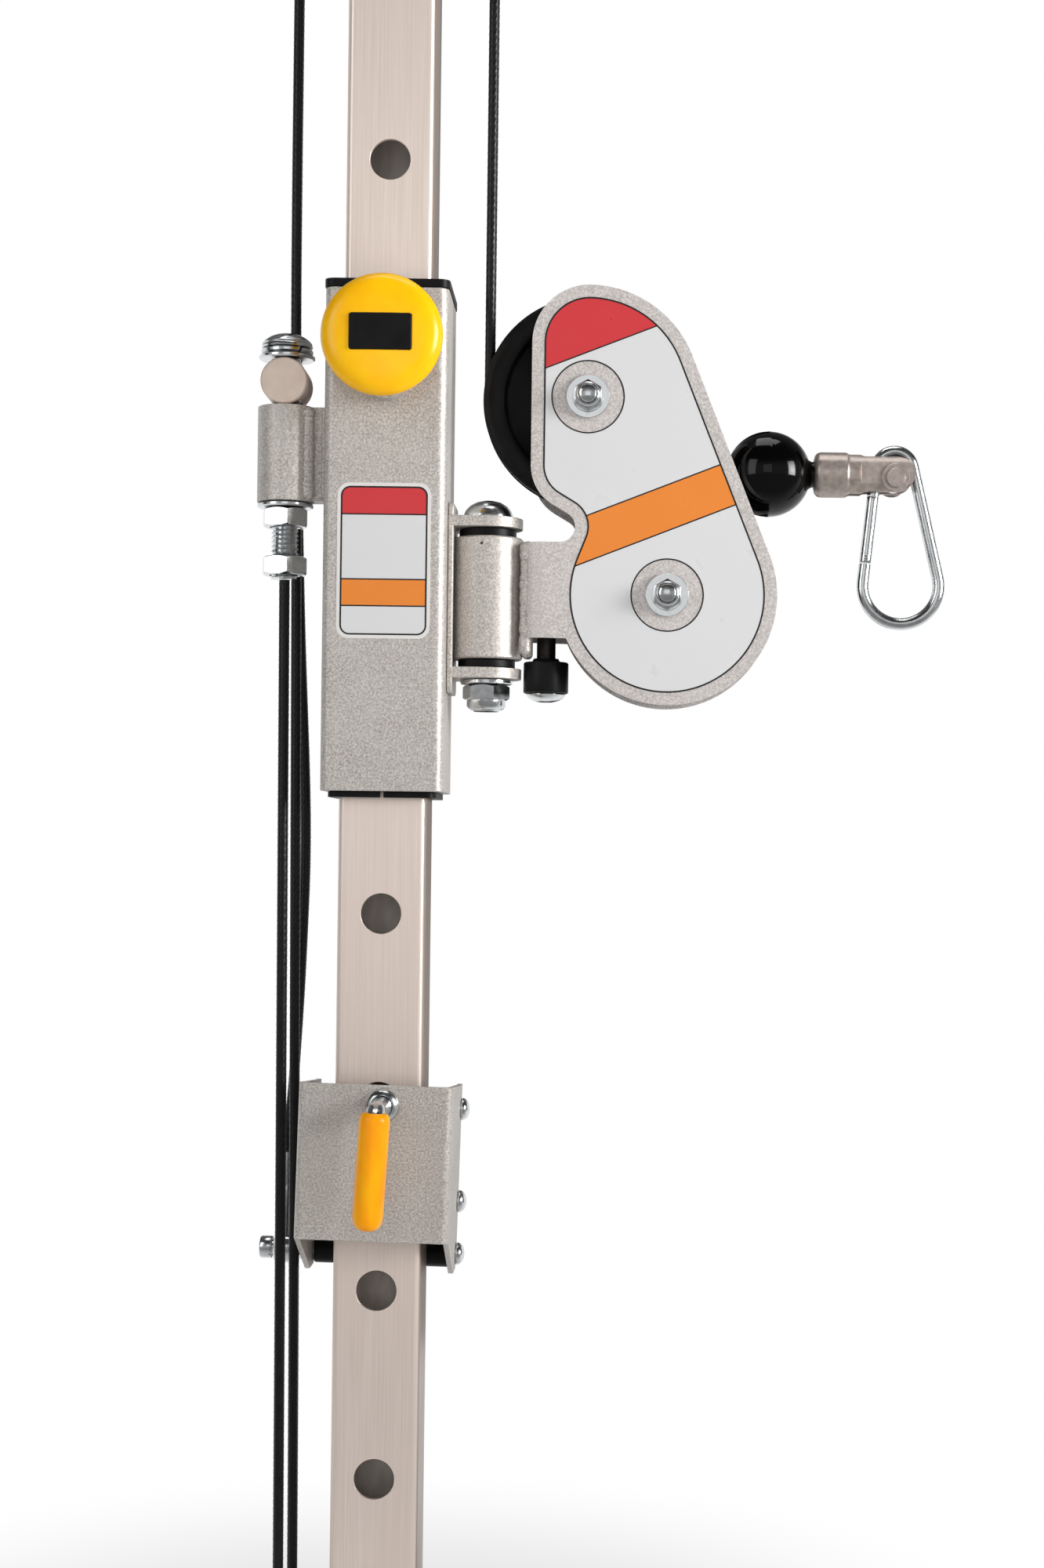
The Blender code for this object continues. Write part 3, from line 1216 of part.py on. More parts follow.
def make_rollers():
    """Two plastic rollers that bear on the column's back, and the bolts across the cheeks."""
    half = CHANNEL_WIDTH / 2
    inner = half - CHANNEL_WALL - 0.001
    names = ("upper_roller", "stay", "lower_roller")
    for name, (y, z) in zip(names, cross_bolts()):
        out = half + GAP
        anchor = name == "lower_roller"
        left = out + (ANCHOR_BOLT_LENGTH if anchor else BOLT_END_HEIGHT + 0.001)
        head = ANCHOR_HEAD_HEIGHT if anchor else BOLT_HEAD_HEIGHT
        dome = [
            (BOLT_HEAD_RADIUS * math.cos(a), out + 0.001 + (head - 0.001) * math.sin(a))
            for a in (math.radians(angle) for angle in (60, 30, 0))
        ]
        profile = [
            (0.0, out + head),
            *dome,
            (BOLT_HEAD_RADIUS, out),
            (BOLT_RADIUS, out),
            (BOLT_RADIUS, -left),
            (0.0, -left),
        ]
        bolt = solid(f"{name}_bolt", faced(turned(profile, 20), "X"), ZINC, lower, (0.0, y, z))
        end = flat([hexagon(BOLT_END_FLATS)], BOLT_END_HEIGHT)
        boolean(bolt, faced(end, "X"), "UNION", (-left + 0.001 + BOLT_END_HEIGHT / 2, 0.0, 0.0))
        if name == "stay":
            continue
        frame = empty(f"{name}_axis", lower, (0.0, y, z))
        roller = [
            (ROLLER_BORE, inner),
            (ROLLER_RADIUS - 0.0008, inner),
            (ROLLER_RADIUS, inner - 0.0008),
            (ROLLER_RADIUS, 0.0008 - inner),
            (ROLLER_RADIUS - 0.0008, -inner),
            (ROLLER_BORE, -inner),
        ]
        solid(name, faced(turned(roller, 24), "X"), BLACK_PLASTIC, frame)


def make_pad():
    """The plastic block behind the front plate. It guides the latch and glides on the column."""
    near = COLUMN_SIDE / 2 + PAD_GAP
    far = -CHANNEL_FRONT - CHANNEL_WALL - GAP
    middle = (FRONT_TOP + FRONT_BOTTOM) / 2
    place = (0.0, -(near + far) / 2, middle)
    pad = solid("front_pad", block(PAD_SIZE[0], far - near, PAD_SIZE[1]), BLACK_PLASTIC, lower, place)
    drill(pad, LATCH_ROD_RADIUS + BORE_GAP, 0.04, (LATCH_X, 0.0, -middle), "Y", 20)


def make_carriage_cable():
    """The cable that ends in a swaged eye on the lower carriage's long bolt."""
    y, z = ROLLER_Y, ROLLER_LOW_Z
    eye_mesh = washer(ANCHOR_EYE_RADIUS, BOLT_RADIUS + BORE_GAP, ANCHOR_EYE_WIDTH, 0.001)
    eye = solid("cable_eye", faced(eye_mesh, "X"), ZINC, lower, (ANCHOR_EYE_X, y, z))
    ferrule = turned(
        [
            (0.0, FERRULE_TOP - z),
            (FERRULE_RADIUS - 0.001, FERRULE_TOP - z),
            (FERRULE_RADIUS, FERRULE_TOP - z - 0.001),
            (FERRULE_RADIUS, FERRULE_BOTTOM - z),
            (FERRULE_RADIUS - 0.0022, FERRULE_BOTTOM - z - 0.004),
            (FERRULE_RADIUS - 0.0022, ANCHOR_EYE_RADIUS - 0.002),
            (0.0, ANCHOR_EYE_RADIUS - 0.002),
        ],
        20,
    )
    boolean(eye, ferrule, "UNION")
    back = lower.matrix_basis.inverted()
    foot = lower.matrix_basis @ Vector((ANCHOR_EYE_X, y, FERRULE_TOP + GAP))
    route = [
        (*CARRIAGE_CABLE_TOP, CABLE_TOP),
        (*CARRIAGE_CABLE_TOP, 0.930),
        (*CARRIAGE_CABLE_TOP, 0.850),
        (-0.0593, 0.0315, 0.740),
        (-0.0555, 0.0325, 0.600),
        (-0.0506, 0.0335, 0.478),
        (-0.0518, 0.0335, 0.400),
        (-0.0556, 0.0336, 0.325),
        (foot.x - 0.0001, foot.y, foot.z + 0.012),
        tuple(foot),
    ]
    points = [back @ point for point in smooth_route(route, 5)]
    tube("carriage_cable", points, CABLE_RADIUS, CABLE_JACKET, lower)


def make_latch():
    """The sprung L-handle whose end locks into a hole of the column, drawn clear of it."""
    tip = COLUMN_SIDE / 2 + PAD_GAP + 0.0004
    rod_end = GRIP_TOP - GRIP_LENGTH + 0.008
    bend = arc((LATCH_BEND - LATCH_REACH, -LATCH_BEND), LATCH_BEND, 90, 180, 6)
    points = [(0.0, -tip, 0.0), (0.0, -0.050, 0.0), *[(0.0, y, z) for y, z in bend]]
    points.append((0.0, -LATCH_REACH, rod_end))
    turn = (0.0, math.radians(GRIP_LEAN_DEG), 0.0)
    handle = tube("latch_rod", points, LATCH_ROD_RADIUS, ZINC, latch_axis)
    handle.rotation_euler = turn
    end = GRIP_TOP - GRIP_LENGTH
    grip = turned(
        [
            (0.0, GRIP_TOP),
            (GRIP_RADIUS - 0.0022, GRIP_TOP),
            (GRIP_RADIUS - 0.0006, GRIP_TOP - 0.0008),
            (GRIP_RADIUS, GRIP_TOP - 0.0026),
            (GRIP_RADIUS, end + GRIP_RADIUS),
            *[
                (GRIP_RADIUS * math.cos(a), end + GRIP_RADIUS - GRIP_RADIUS * math.sin(a))
                for a in (math.radians(angle) for angle in (30, 55, 75))
            ],
            (0.0, end),
        ]
    )
    place = Matrix.Rotation(turn[1], 4, "Y") @ Vector((0.0, -LATCH_REACH, 0.0))
    cover = solid("latch_grip", grip, YELLOW, latch_axis, place, turn)
    line = [*points[:-1], (0.0, -LATCH_REACH, rod_end - GAP)]
    wide = tube("socket", line, LATCH_ROD_RADIUS + GAP, ZINC, latch_axis)
    socket = wide.data
    bpy.data.objects.remove(wide)
    boolean(cover, socket, "DIFFERENCE", (0.0, LATCH_REACH, 0.0))


make_column()
make_column_cable()
make_sleeve()
make_bushings()
make_pull_pin()
make_anchor()
make_adjuster_cable()
make_bracket()
make_housing()
make_axle("upper", top_axle)
make_axle("lower", low_axle)
make_pulley("upper_pulley", top_axle)
make_pulley("lower_pulley", low_axle)
make_index_plunger()
make_pulley_cable()
make_cable_end()
make_carabiner()
make_channel()
make_rollers()
make_pad()
make_carriage_cable()
make_latch()
bpy.context.view_layer.update()
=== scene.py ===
# %% [markdown]
# # A pulley column of a multi gym
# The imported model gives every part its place, in metres, with Z up. This script
# dresses those parts: it gives them finishes, rounds their edges, and replaces the
# turned, threaded and wound ones with finer meshes in the same places.

import json
import math

import bmesh
import bpy
from mathutils import Matrix, Vector

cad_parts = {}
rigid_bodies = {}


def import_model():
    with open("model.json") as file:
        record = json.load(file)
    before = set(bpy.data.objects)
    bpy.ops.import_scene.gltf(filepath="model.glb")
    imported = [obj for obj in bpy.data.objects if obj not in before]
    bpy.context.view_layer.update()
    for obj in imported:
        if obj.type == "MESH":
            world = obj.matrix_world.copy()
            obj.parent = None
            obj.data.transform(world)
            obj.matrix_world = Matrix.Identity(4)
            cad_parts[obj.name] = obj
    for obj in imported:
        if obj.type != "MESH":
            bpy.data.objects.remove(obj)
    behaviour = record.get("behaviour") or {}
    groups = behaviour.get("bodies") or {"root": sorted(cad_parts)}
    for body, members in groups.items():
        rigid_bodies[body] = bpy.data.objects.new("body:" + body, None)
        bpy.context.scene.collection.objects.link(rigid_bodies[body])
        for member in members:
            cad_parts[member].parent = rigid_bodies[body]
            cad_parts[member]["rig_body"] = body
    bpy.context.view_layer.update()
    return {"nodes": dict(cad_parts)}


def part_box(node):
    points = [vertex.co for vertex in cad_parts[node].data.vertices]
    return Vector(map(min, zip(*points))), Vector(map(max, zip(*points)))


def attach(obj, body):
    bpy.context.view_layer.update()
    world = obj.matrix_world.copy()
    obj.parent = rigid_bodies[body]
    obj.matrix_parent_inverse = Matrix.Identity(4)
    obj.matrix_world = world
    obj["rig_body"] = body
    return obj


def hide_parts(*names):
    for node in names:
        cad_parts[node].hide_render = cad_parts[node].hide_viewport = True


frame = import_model()
nodes = frame["nodes"]
scene = bpy.context.scene

# %% [markdown]
# ## The camera
# The photo was taken from about a metre and a half, level with the middle of the
# column and a little to its right, so the right faces of the tubes just show. A
# vertical sensor fit with a long lens keeps the picture's height, and a small lens
# shift stands for the crop.

# %% The camera
PHOTO_HEIGHT_PX, FOCAL_PX, SENSOR_MM = 2000, 3251, 36.0
CAMERA_PLACE = (0.1352, -1.475, 0.4576)
CROP_SHIFT = (-0.062, 0.045)  # shares of the picture's height
ROLL = -0.0125  # radians: the photo leans a little

lens = bpy.data.cameras.new("camera")
lens.sensor_fit, lens.sensor_height = "VERTICAL", SENSOR_MM
lens.lens = FOCAL_PX * SENSOR_MM / PHOTO_HEIGHT_PX
lens.shift_x, lens.shift_y = CROP_SHIFT
camera = bpy.data.objects.new("camera", lens)
camera.location = CAMERA_PLACE
camera.rotation_euler = (math.pi / 2, ROLL, 0.0)
scene.collection.objects.link(camera)
scene.camera = camera
print("lens:", round(lens.lens, 1), "mm")

# %% [markdown]
# ## Small helpers for finishes
# A finish is a node tree. One function adds any node, sets it up and links it, so a
# tree reads as a list of what feeds what. Colours are written as the hex values seen
# on screen, and one function turns them into the linear values that light needs.

# %% Helpers for colours and nodes
MM = 0.001
WHITE = (1.0, 1.0, 1.0, 1.0)


def colour(code):
    """A hex colour as linear RGBA."""
    channels = [int(code[i : i + 2], 16) / 255 for i in (1, 3, 5)]
    linear = [c / 12.92 if c <= 0.04045 else ((c + 0.055) / 1.055) ** 2.4 for c in channels]
    return (*linear, 1.0)


def add(tree, kind, inputs=None, **settings):
    """Adds a node and returns its outputs. An input is a value, or another output to link."""
    node = tree.nodes.new(kind)
    for name, value in settings.items():
        setattr(node, name, value)
    for name, value in (inputs or {}).items():
        if isinstance(value, bpy.types.NodeSocket):
            tree.links.new(value, node.inputs[name])
        else:
            node.inputs[name].default_value = value
    return node.outputs


def maths(tree, operation, first, second=0.0):
    """A value from two values."""
    return add(tree, "ShaderNodeMath", {0: first, 1: second}, operation=operation)[0]


def vectors(tree, operation, inputs, output=0):
    """A vector, or its length, from vectors."""
    return add(tree, "ShaderNodeVectorMath", inputs, operation=operation)[output]


def mixed(tree, factor, first, second):
    """A surface between two others."""
    return add(tree, "ShaderNodeMixShader", {0: factor, 1: first, 2: second})[0]


def ramp(tree, value, start, end, low=0.0, high=1.0, curve="SMOOTHSTEP"):
    """A value that goes from low to high while another goes from start to end."""
    inputs = {"Value": value, "From Min": start, "From Max": end, "To Min": low, "To Max": high}
    return add(tree, "ShaderNodeMapRange", inputs, interpolation_type=curve)[0]


print("red becomes", [round(c, 3) for c in colour("#C42F34")])

# %% [markdown]
# ## The studio
# The object stands on a plain pale floor in a white room. Five soft lamps and the room
# light it evenly. Polished metal only looks like metal when it has something dark to
# reflect, so reflections see a dim ceiling and a dim room behind the camera. Three black
# cards and a white one stand where only reflections see them.

# %% The room's light
ROOM_LEVEL = 0.30
BACK_WALL = (-0.10, 0.40, 0.36, 1.0)  # the range of Y that it brightens over, and its levels
CEILING = (0.20, 0.60, 1.0, 0.12)  # the same for Z
world = bpy.data.worlds.new("white_room")
world.use_nodes = True
scene.world = world
scene.view_settings.view_transform = "Standard"
room = world.node_tree
room.nodes.clear()
ray = add(room, "ShaderNodeLightPath")
direction = add(room, "ShaderNodeTexCoord")["Generated"]
toward = add(room, "ShaderNodeSeparateXYZ", {"Vector": direction})
back_wall = ramp(room, toward["Y"], *BACK_WALL)
ceiling = ramp(room, toward["Z"], *CEILING)
lit, reflected, seen = (
    add(room, "ShaderNodeBackground", {"Color": WHITE, "Strength": level})[0]
    for level in (ROOM_LEVEL, maths(room, "MULTIPLY", back_wall, ceiling), 1.0)
)
gloss = mixed(room, ray["Is Glossy Ray"], lit, reflected)
clear = maths(room, "MAXIMUM", ray["Is Camera Ray"], ray["Is Transmission Ray"])
add(room, "ShaderNodeOutputWorld", {"Surface": mixed(room, clear, gloss, seen)})
print("room level:", ROOM_LEVEL)

# %% The lamps
# The front lamp is wide and level, so it shines into the column's holes. Polished parts
# don't see it, because they would turn flat white. The low strip is also for matt surfaces.
# The right lamp has a grid, so it lights the upper carriage and leaves the lower one softer.
LAMPS = {  # name: (place, width, height, watts, height of its aim, spread in degrees, mirrored)
    "front_key": ((0.00, -2.50, 0.42), 1.0, 1.2, 6.0, 0.52, 180, False),
    "low_strip": ((0.62, -0.95, 0.24), 0.10, 0.5, 2.6, 0.52, 180, False),
    "left_softbox": ((-1.35, -1.35, 1.15), 0.8, 1.4, 7.0, 0.52, 180, True),
    "right_softbox": ((1.62, -0.72, 1.00), 0.6, 0.9, 3.2, 0.82, 50, True),
    "top_softbox": ((0.10, 0.05, 2.40), 1.2, 0.9, 10.0, 0.52, 180, True),
}
AIM_X = 0.08
for name, (place, width, height, watts, aim_z, angle, mirrored) in LAMPS.items():
    lamp = bpy.data.lights.new(name, "AREA")
    lamp.shape, lamp.energy, lamp.spread = "RECTANGLE", watts, math.radians(angle)
    lamp.size, lamp.size_y = width, height
    holder = bpy.data.objects.new(name, lamp)
    holder.location = place
    aim = Vector((AIM_X, 0.0, aim_z)) - Vector(place)
    holder.rotation_euler = aim.to_track_quat("-Z", "Y").to_euler()
    holder.visible_glossy = mirrored
    scene.collection.objects.link(holder)
print("lamps:", len(LAMPS))


# %% Flat sheets and plain finishes
def sheet_mesh(name, corners):
    """A mesh of one flat face."""
    mesh = bpy.data.meshes.new(name)
    mesh.from_pydata([Vector(c) for c in corners], [], [range(len(corners))])
    return mesh


def shown(name, mesh):
    """Links a mesh to the scene as an object."""
    obj = bpy.data.objects.new(name, mesh)
    scene.collection.objects.link(obj)
    return obj


def new_finish(name, base, metallic, roughness, **sockets):
    """A material with its shader's plain values set, its tree, and its shader."""
    material = bpy.data.materials.new(name)
    material.use_nodes = True
    material.diffuse_color = colour(base)
    shader = material.node_tree.nodes["Principled BSDF"]
    plain = {"Base Color": colour(base), "Metallic": metallic, "Roughness": roughness, **sockets}
    for socket, value in plain.items():
        shader.inputs[socket.replace("_", " ")].default_value = value
    return material, material.node_tree, shader


FLOOR_REACH = 6.0
corners = [(x * FLOOR_REACH, y * FLOOR_REACH, 0.0) for x, y in ((-1, -1), (1, -1), (1, 1), (-1, 1))]
floor = shown("floor", sheet_mesh("floor", corners))
print("floor:", 2 * FLOOR_REACH, "m wide")

# %% The floor
FLOOR_GLOW = (-0.5, 0.4, 0.25)  # in reflections: from Y, to Y, and the level in front
SHADOW_ZONE = (0.10, 0.42, 0.6)  # from and to this far from the foot, and the glow's share there
floor_finish, tree, shader = new_finish("pale_painted_floor", "#F4F4F4", 0.0, 0.9)
ray = add(tree, "ShaderNodeLightPath")
seen = maths(tree, "MAXIMUM", ray["Is Camera Ray"], ray["Is Glossy Ray"])
seen = maths(tree, "MAXIMUM", seen, ray["Is Transmission Ray"])
spot = add(tree, "ShaderNodeTexCoord")["Object"]
# Polished metal sees white floor behind the object, and the dim studio in front of it.
depth = add(tree, "ShaderNodeSeparateXYZ", {"Vector": spot})["Y"]
strength = {0: ray["Is Glossy Ray"], 2: 1.0, 3: ramp(tree, depth, *FLOOR_GLOW)}
strength = add(tree, "ShaderNodeMix", strength, data_type="FLOAT")[0]
glow = add(tree, "ShaderNodeEmission", {"Color": WHITE, "Strength": strength})[0]
# Near the foot a part of the floor's light is real, so that the object's shadow shows there.
away = vectors(tree, "LENGTH", {0: spot}, "Value")
share = maths(tree, "MULTIPLY", seen, ramp(tree, away, *SHADOW_ZONE))
surface = mixed(tree, share, shader.outputs[0], glow)
tree.links.new(surface, tree.nodes["Material Output"].inputs["Surface"])
floor.data.materials.append(floor_finish)
print("floor nodes:", len(tree.nodes))

# %% The cards
black_card = new_finish("black_card", "#050505", 0.0, 0.9)[0]
bright = {"Emission_Color": WHITE, "Emission_Strength": 0.5}
white_card = new_finish("white_card", "#FFFFFF", 0.0, 0.9, **bright)[0]
CARDS = {  # upright cards that only reflections see: (finish, x, y to x, y, low, high)
    "white_card_front": (white_card, (-0.3, -1.7), (0.5, -1.7), 0.62, 1.25),
    "card_behind": (black_card, (-0.02, 0.9), (0.26, 0.9), 0.0, 1.6),
    "card_far_left": (black_card, (-1.6, -0.4), (-1.6, 0.1), 0.0, 1.8),
    "card_far_right": (black_card, (1.5, 0.2), (1.5, 0.7), 0.0, 1.8),
}
for name, (look, start, end, low, high) in CARDS.items():
    corners = [(*start, low), (*end, low), (*end, high), (*start, high)]
    card = shown(name, sheet_mesh(name, corners))
    card.data.materials.append(look)
    card.visible_camera = card.visible_diffuse = card.visible_shadow = False
    card.visible_transmission = False
print("cards:", len(CARDS))

# %% [markdown]
# ## Finish: satin nickel on steel tube
# The guide column is a drawn steel tube with a warm nickel plate. The drawing leaves
# fine lines along its length, and hands and bushings leave faint smudges. It is a
# metal, so its base colour is the colour of its reflection, and the lines are a noise
# stretched along Z that changes the colour and bumps the surface a little.

# %% Noise, colour and relief
NOISE_RANGE = (0.3, 0.7)  # where most of a noise's values lie


def spread(tree, field, low=0.0, high=1.0):
    """A noise's middle range as a value from low to high."""
    return ramp(tree, field, *NOISE_RANGE, low, high, "LINEAR")


def noise(tree, size_mm, detail=3.0, stretch=(1.0, 1.0, 1.0)):
    """A noise whose blobs are about size_mm across, stretched along the axes."""
    place = {"Vector": add(tree, "ShaderNodeTexCoord")["Object"], "Scale": [1 / s for s in stretch]}
    place = add(tree, "ShaderNodeMapping", place)[0]
    inputs = {"Vector": place, "Scale": 1 / (size_mm * MM), "Detail": detail}
    return add(tree, "ShaderNodeTexNoise", inputs)["Fac"]


def blend(tree, factor, *pair):
    """A colour between two, by a factor. Each is a hex code or another node's output."""
    first, second = (colour(value) if isinstance(value, str) else value for value in pair)
    return add(tree, "ShaderNodeMix", {0: factor, 6: first, 7: second}, data_type="RGBA")[2]


def bump(tree, height, depth_mm, **normal):
    """A normal from a height field that is depth_mm deep."""
    inputs = {"Height": height, "Distance": depth_mm * MM, "Strength": 1.0, **normal}
    return add(tree, "ShaderNodeBump", inputs)["Normal"]


def connect(tree, shader, **sockets):
    """Links outputs to the shader's sockets."""
    for name, output in sockets.items():
        tree.links.new(output, shader.inputs[name.replace("_", " ")])


print("scale of a noise of 1 mm:", 1 / MM)

# %% Satin nickel
# It gives the eye a soft warm sheen with faint lines along the tube, and a painted shade down its
# right side.
PAINTED_SHADE_SIDE = (0.0236, 0.0248)  # the painted shade on the right side starts and is full at these X
nickel, tree, shader = new_finish("satin_nickel_drawn_tube", "#F0E0D5", 0.45, 0.33)
lines = noise(tree, 0.8, 4.0, (1.0, 1.0, 90.0))  # real lines are 0.1 mm, drawn coarser to show
smudge = noise(tree, 45.0, 3.0, (1.0, 1.0, 2.4))
lined = blend(tree, spread(tree, lines), "#E6D5C9", "#F8EAE1")
polished = blend(tree, spread(tree, smudge), lined, "#ECDBD0")
# The tube's right side is painted darker: a painted shade for the dark that its side reflects. It
# is a guess.
spot = add(tree, "ShaderNodeTexCoord")["Object"]
across = add(tree, "ShaderNodeSeparateXYZ", {"Vector": spot})["X"]
connect(
    tree,
    shader,
    # 94847A is the colour of the painted shade on the right side.
    Base_Color=blend(tree, ramp(tree, across, *PAINTED_SHADE_SIDE), polished, "#94847A"),
    Roughness=spread(tree, smudge, 0.28, 0.40),
    Normal=bump(tree, lines, 0.012),
)
print("made", nickel.name)


# %% Mill steel
def varied(name, base, metallic, roughness, tones=None, rough=None, relief=None, **sockets):
    """A finish that varies. Each noise is (size in mm, detail, stretch), with its range."""
    material, tree, shader = new_finish(name, base, metallic, roughness, **sockets)
    if tones:
        field = spread(tree, noise(tree, *tones[0]))
        connect(tree, shader, Base_Color=blend(tree, field, *tones[1:]))
    if rough:
        connect(tree, shader, Roughness=spread(tree, noise(tree, *rough[0]), *rough[1:]))
    if relief:
        connect(tree, shader, Normal=bump(tree, noise(tree, *relief[0]), relief[1]))
    return material


# Mill steel inside the tube gives the eye a dull grey, so the holes aren't mirrors.
SCALE_MARKS = (6.0, 4.0, (1.0, 1.0, 3.0))
mill_tones = (SCALE_MARKS, "#DCD3CC", "#F6EEE8")
mill = varied("mill_grey_steel", "#E9E0D9", 0.1, 0.6, mill_tones, relief=(SCALE_MARKS, 0.08))
print("made", mill.name)

# %% [markdown]
# ## Finish: silver powder coat
# The carriages are painted with a silver powder coat. Baked powder has a fine orange
# peel, and its metal flakes glitter. A half-metallic shader, a flake noise and a peel
# bump make it.

# %% Silver powder coat
# It gives the eye a light grey grain with a soft, wide highlight.
FLAKE_MM = 1.1  # real flakes are 0.05 mm, drawn as coarse as they show
PEEL_MM, PATCH_MM = 1.3, 30.0
ROUGHNESS_SPREAD, MOTTLE = 0.07, 0.2


def powder_coat(name, dark, light, roughness, peel=0.05):
    """A baked silver powder coat between two tones."""
    material, tree, shader = new_finish(name, light, 0.4, roughness)
    flakes = noise(tree, FLAKE_MM, 2.0)
    tone = blend(tree, spread(tree, flakes), dark, light)
    patches = spread(tree, noise(tree, PATCH_MM, 2.0), 0.0, MOTTLE)
    connect(
        tree,
        shader,
        Base_Color=blend(tree, patches, tone, light),
        Roughness=spread(
            tree, flakes, roughness - ROUGHNESS_SPREAD, roughness + ROUGHNESS_SPREAD
        ),
        Normal=bump(tree, noise(tree, PEEL_MM, 2.0), peel, Normal=bump(tree, flakes, 0.02)),
    )
    return material


silver = powder_coat("silver_powder_coat", "#9C948E", "#DBD6D0", 0.46)
pale_silver = powder_coat("pale_silver_powder_coat", "#B4ADA9", "#E3DDDA", 0.48, 0.025)
print("powder coats:", silver.name, pale_silver.name)

# %% [markdown]
# ## Finish: bright zinc plate and plain steel
# Screws, nuts and the snap hook are zinc plated: a hard, slightly blue mirror with
# faint clouds. The trunnion is turned from plain steel, warmer and softer, and the
# clevis is a nickel-plated casting. Each varies with noises of its own size.

# %% Zinc plate and plain steel
# Zinc gives the eye crisp bluish reflections that break up a little.
CLOUD = (4.0, 4.0)
zinc = varied(
    "bright_zinc_plate", "#D7DADC", 1.0, 0.2,
    (CLOUD, "#CBCFD2", "#E0E2E2"), (CLOUD, 0.12, 0.27), ((0.5, 2.0), 0.006),
)
# Turned steel gives the eye a warm satin face with a fine grit.
GRIT = (0.7, 3.0)
steel = varied(
    "turned_mild_steel", "#EAD8CC", 0.4, 0.36,
    ((9.0, 3.0), "#DECABC", "#EBD9CC"), (GRIT, 0.28, 0.42), (GRIT, 0.01),
)
# The clevis is a nickel-plated casting: greyer, with a soft cloudy sheen.
CAST = (3.0, 3.0)
cast_nickel = varied(
    "nickel_plated_casting", "#A99D96", 0.6, 0.34,
    (CAST, "#9B8F88", "#B7ABA4"), (CAST, 0.28, 0.42), (CAST, 0.03),
)
# The plunger's stem is oil-blackened: a near-black metal with a thin greasy sheen.
FILM = (2.0, 3.0, (1.0, 1.0, 3.0))
blackened = varied(
    "oil_blackened_steel", "#2A2725", 0.8, 0.3, (FILM, "#1F1C1B", "#3A3633"), (FILM, 0.22, 0.38)
)
print("metals:", zinc.name, steel.name, cast_nickel.name, blackened.name)

# %% [markdown]
# ## Finish: the plastics
# The bushings, pulleys and rollers are moulded black nylon, dull with a fine grain.
# The ball stop is a polished black moulding. The pull knob is glossy yellow ABS, and
# the latch's grip is a dipped soft vinyl that is deeper in colour.

# %% Black plastics
# Nylon gives the eye a deep dull black with a faint grey sheen on its edges.
GRAIN = (0.6, 2.0)
nylon = varied(
    "black_moulded_nylon", "#070707", 0.0, 0.42,
    ((12.0,), "#080809", "#111112"), (GRAIN, 0.38, 0.52), (GRAIN, 0.02),
    IOR=1.5, Specular_IOR_Level=0.2,
)
# The ball gives the eye a wet black with sharp window reflections.
SWIRL = (7.0, 3.0)
phenolic = varied(
    "polished_black_phenolic", "#030303", 0.0, 0.07,
    rough=(SWIRL, 0.04, 0.11), relief=(SWIRL, 0.02), IOR=1.55, Specular_IOR_Level=0.22,
)
print("black plastics:", nylon.name, phenolic.name)

# %% Yellow plastics
# ABS gives the eye a saturated yellow with a clear gloss.
SINK = (16.0, 2.0)
abs_yellow = varied(
    "moulded_yellow_abs", "#FFC400", 0.0, 0.24,
    (SINK, "#FDB800", "#FFC400"), ((1.2,), 0.2, 0.28), (SINK, 0.06),
    IOR=1.5, Specular_IOR_Level=0.35,
)
# Dipped vinyl gives the eye a deep warm yellow under a thick soft gloss.
RUN = (8.0, 2.0, (1.0, 1.0, 2.5))
vinyl = varied(
    "dipped_yellow_vinyl", "#FFAC00", 0.0, 0.3,
    (RUN, "#FF9D00", "#FFB200"), relief=(RUN, 0.09),
    IOR=1.5, Specular_IOR_Level=0.2, Coat_Weight=0.12,
)
print("yellow plastics:", abs_yellow.name, vinyl.name)

# %% The cable's jacket, and the slots
# The cable's jacket gives the eye a satin black with small scuffs.
SCUFF = (1.4, 4.0, (1.0, 1.0, 4.0))
jacket = varied(
    "black_nylon_cable_jacket", "#0C0B0C", 0.0, 0.36,
    (SCUFF, "#080708", "#131213"), (SCUFF, 0.28, 0.44), (SCUFF, 0.006),
    IOR=1.5, Specular_IOR_Level=0.35,
)
print("finishes so far:", len(bpy.data.materials))

# %% [markdown]
# ## Cables
# The cables are steel wire ropes in a nylon jacket, 6.2 mm thick. The jacket is
# pressed round the strands, so it shows their lay as a low twist. They could be plain
# curves with a round bevel, but the twist catches the light along its whole length.
# So Geometry Nodes sweep a lobed profile along each route and turn it with a curve
# tilt. Each cable is taut and ends in a plate, a stud, a swaged eye or the ball.

# %% Points of a route
CABLE_RADIUS = 0.0031
PLATE_TOP = 0.9933  # upper face of the top plate
CABLE_TOP = 1.1006  # moving cables stand this high, so they stay in the plate's holes


def smooth_route(points, per_stretch=6):
    """Points of a smooth curve through a route's own points."""
    route = [Vector(point) for point in points]
    route = [2 * route[0] - route[1], *route, 2 * route[-1] - route[-2]]
    out = []
    for before, here, there, after in zip(route, route[1:], route[2:], route[3:]):
        for t in (i / per_stretch for i in range(per_stretch)):
            square = (2 * before - 5 * here + 4 * there - after) * t**2
            cube = (3 * here - before - 3 * there + after) * t**3
            out.append(0.5 * (2 * here + (there - before) * t + square + cube))
    return [*out, route[-2]]


def straight(start, end, count):
    """Evenly spaced points from start to end."""
    start, end = Vector(start), Vector(end)
    return [start.lerp(end, i / (count - 1)) for i in range(count)]


def arc(centre, radius, start, end, steps):
    """Points on an arc, its angles in degrees from the first axis towards the second."""
    angles = [math.radians(start + (end - start) * i / steps) for i in range(steps + 1)]
    return [(centre[0] + radius * math.cos(a), centre[1] + radius * math.sin(a)) for a in angles]


def route_length(route):
    """The length of a route."""
    return sum((b - a).length for a, b in zip(route, route[1:]))


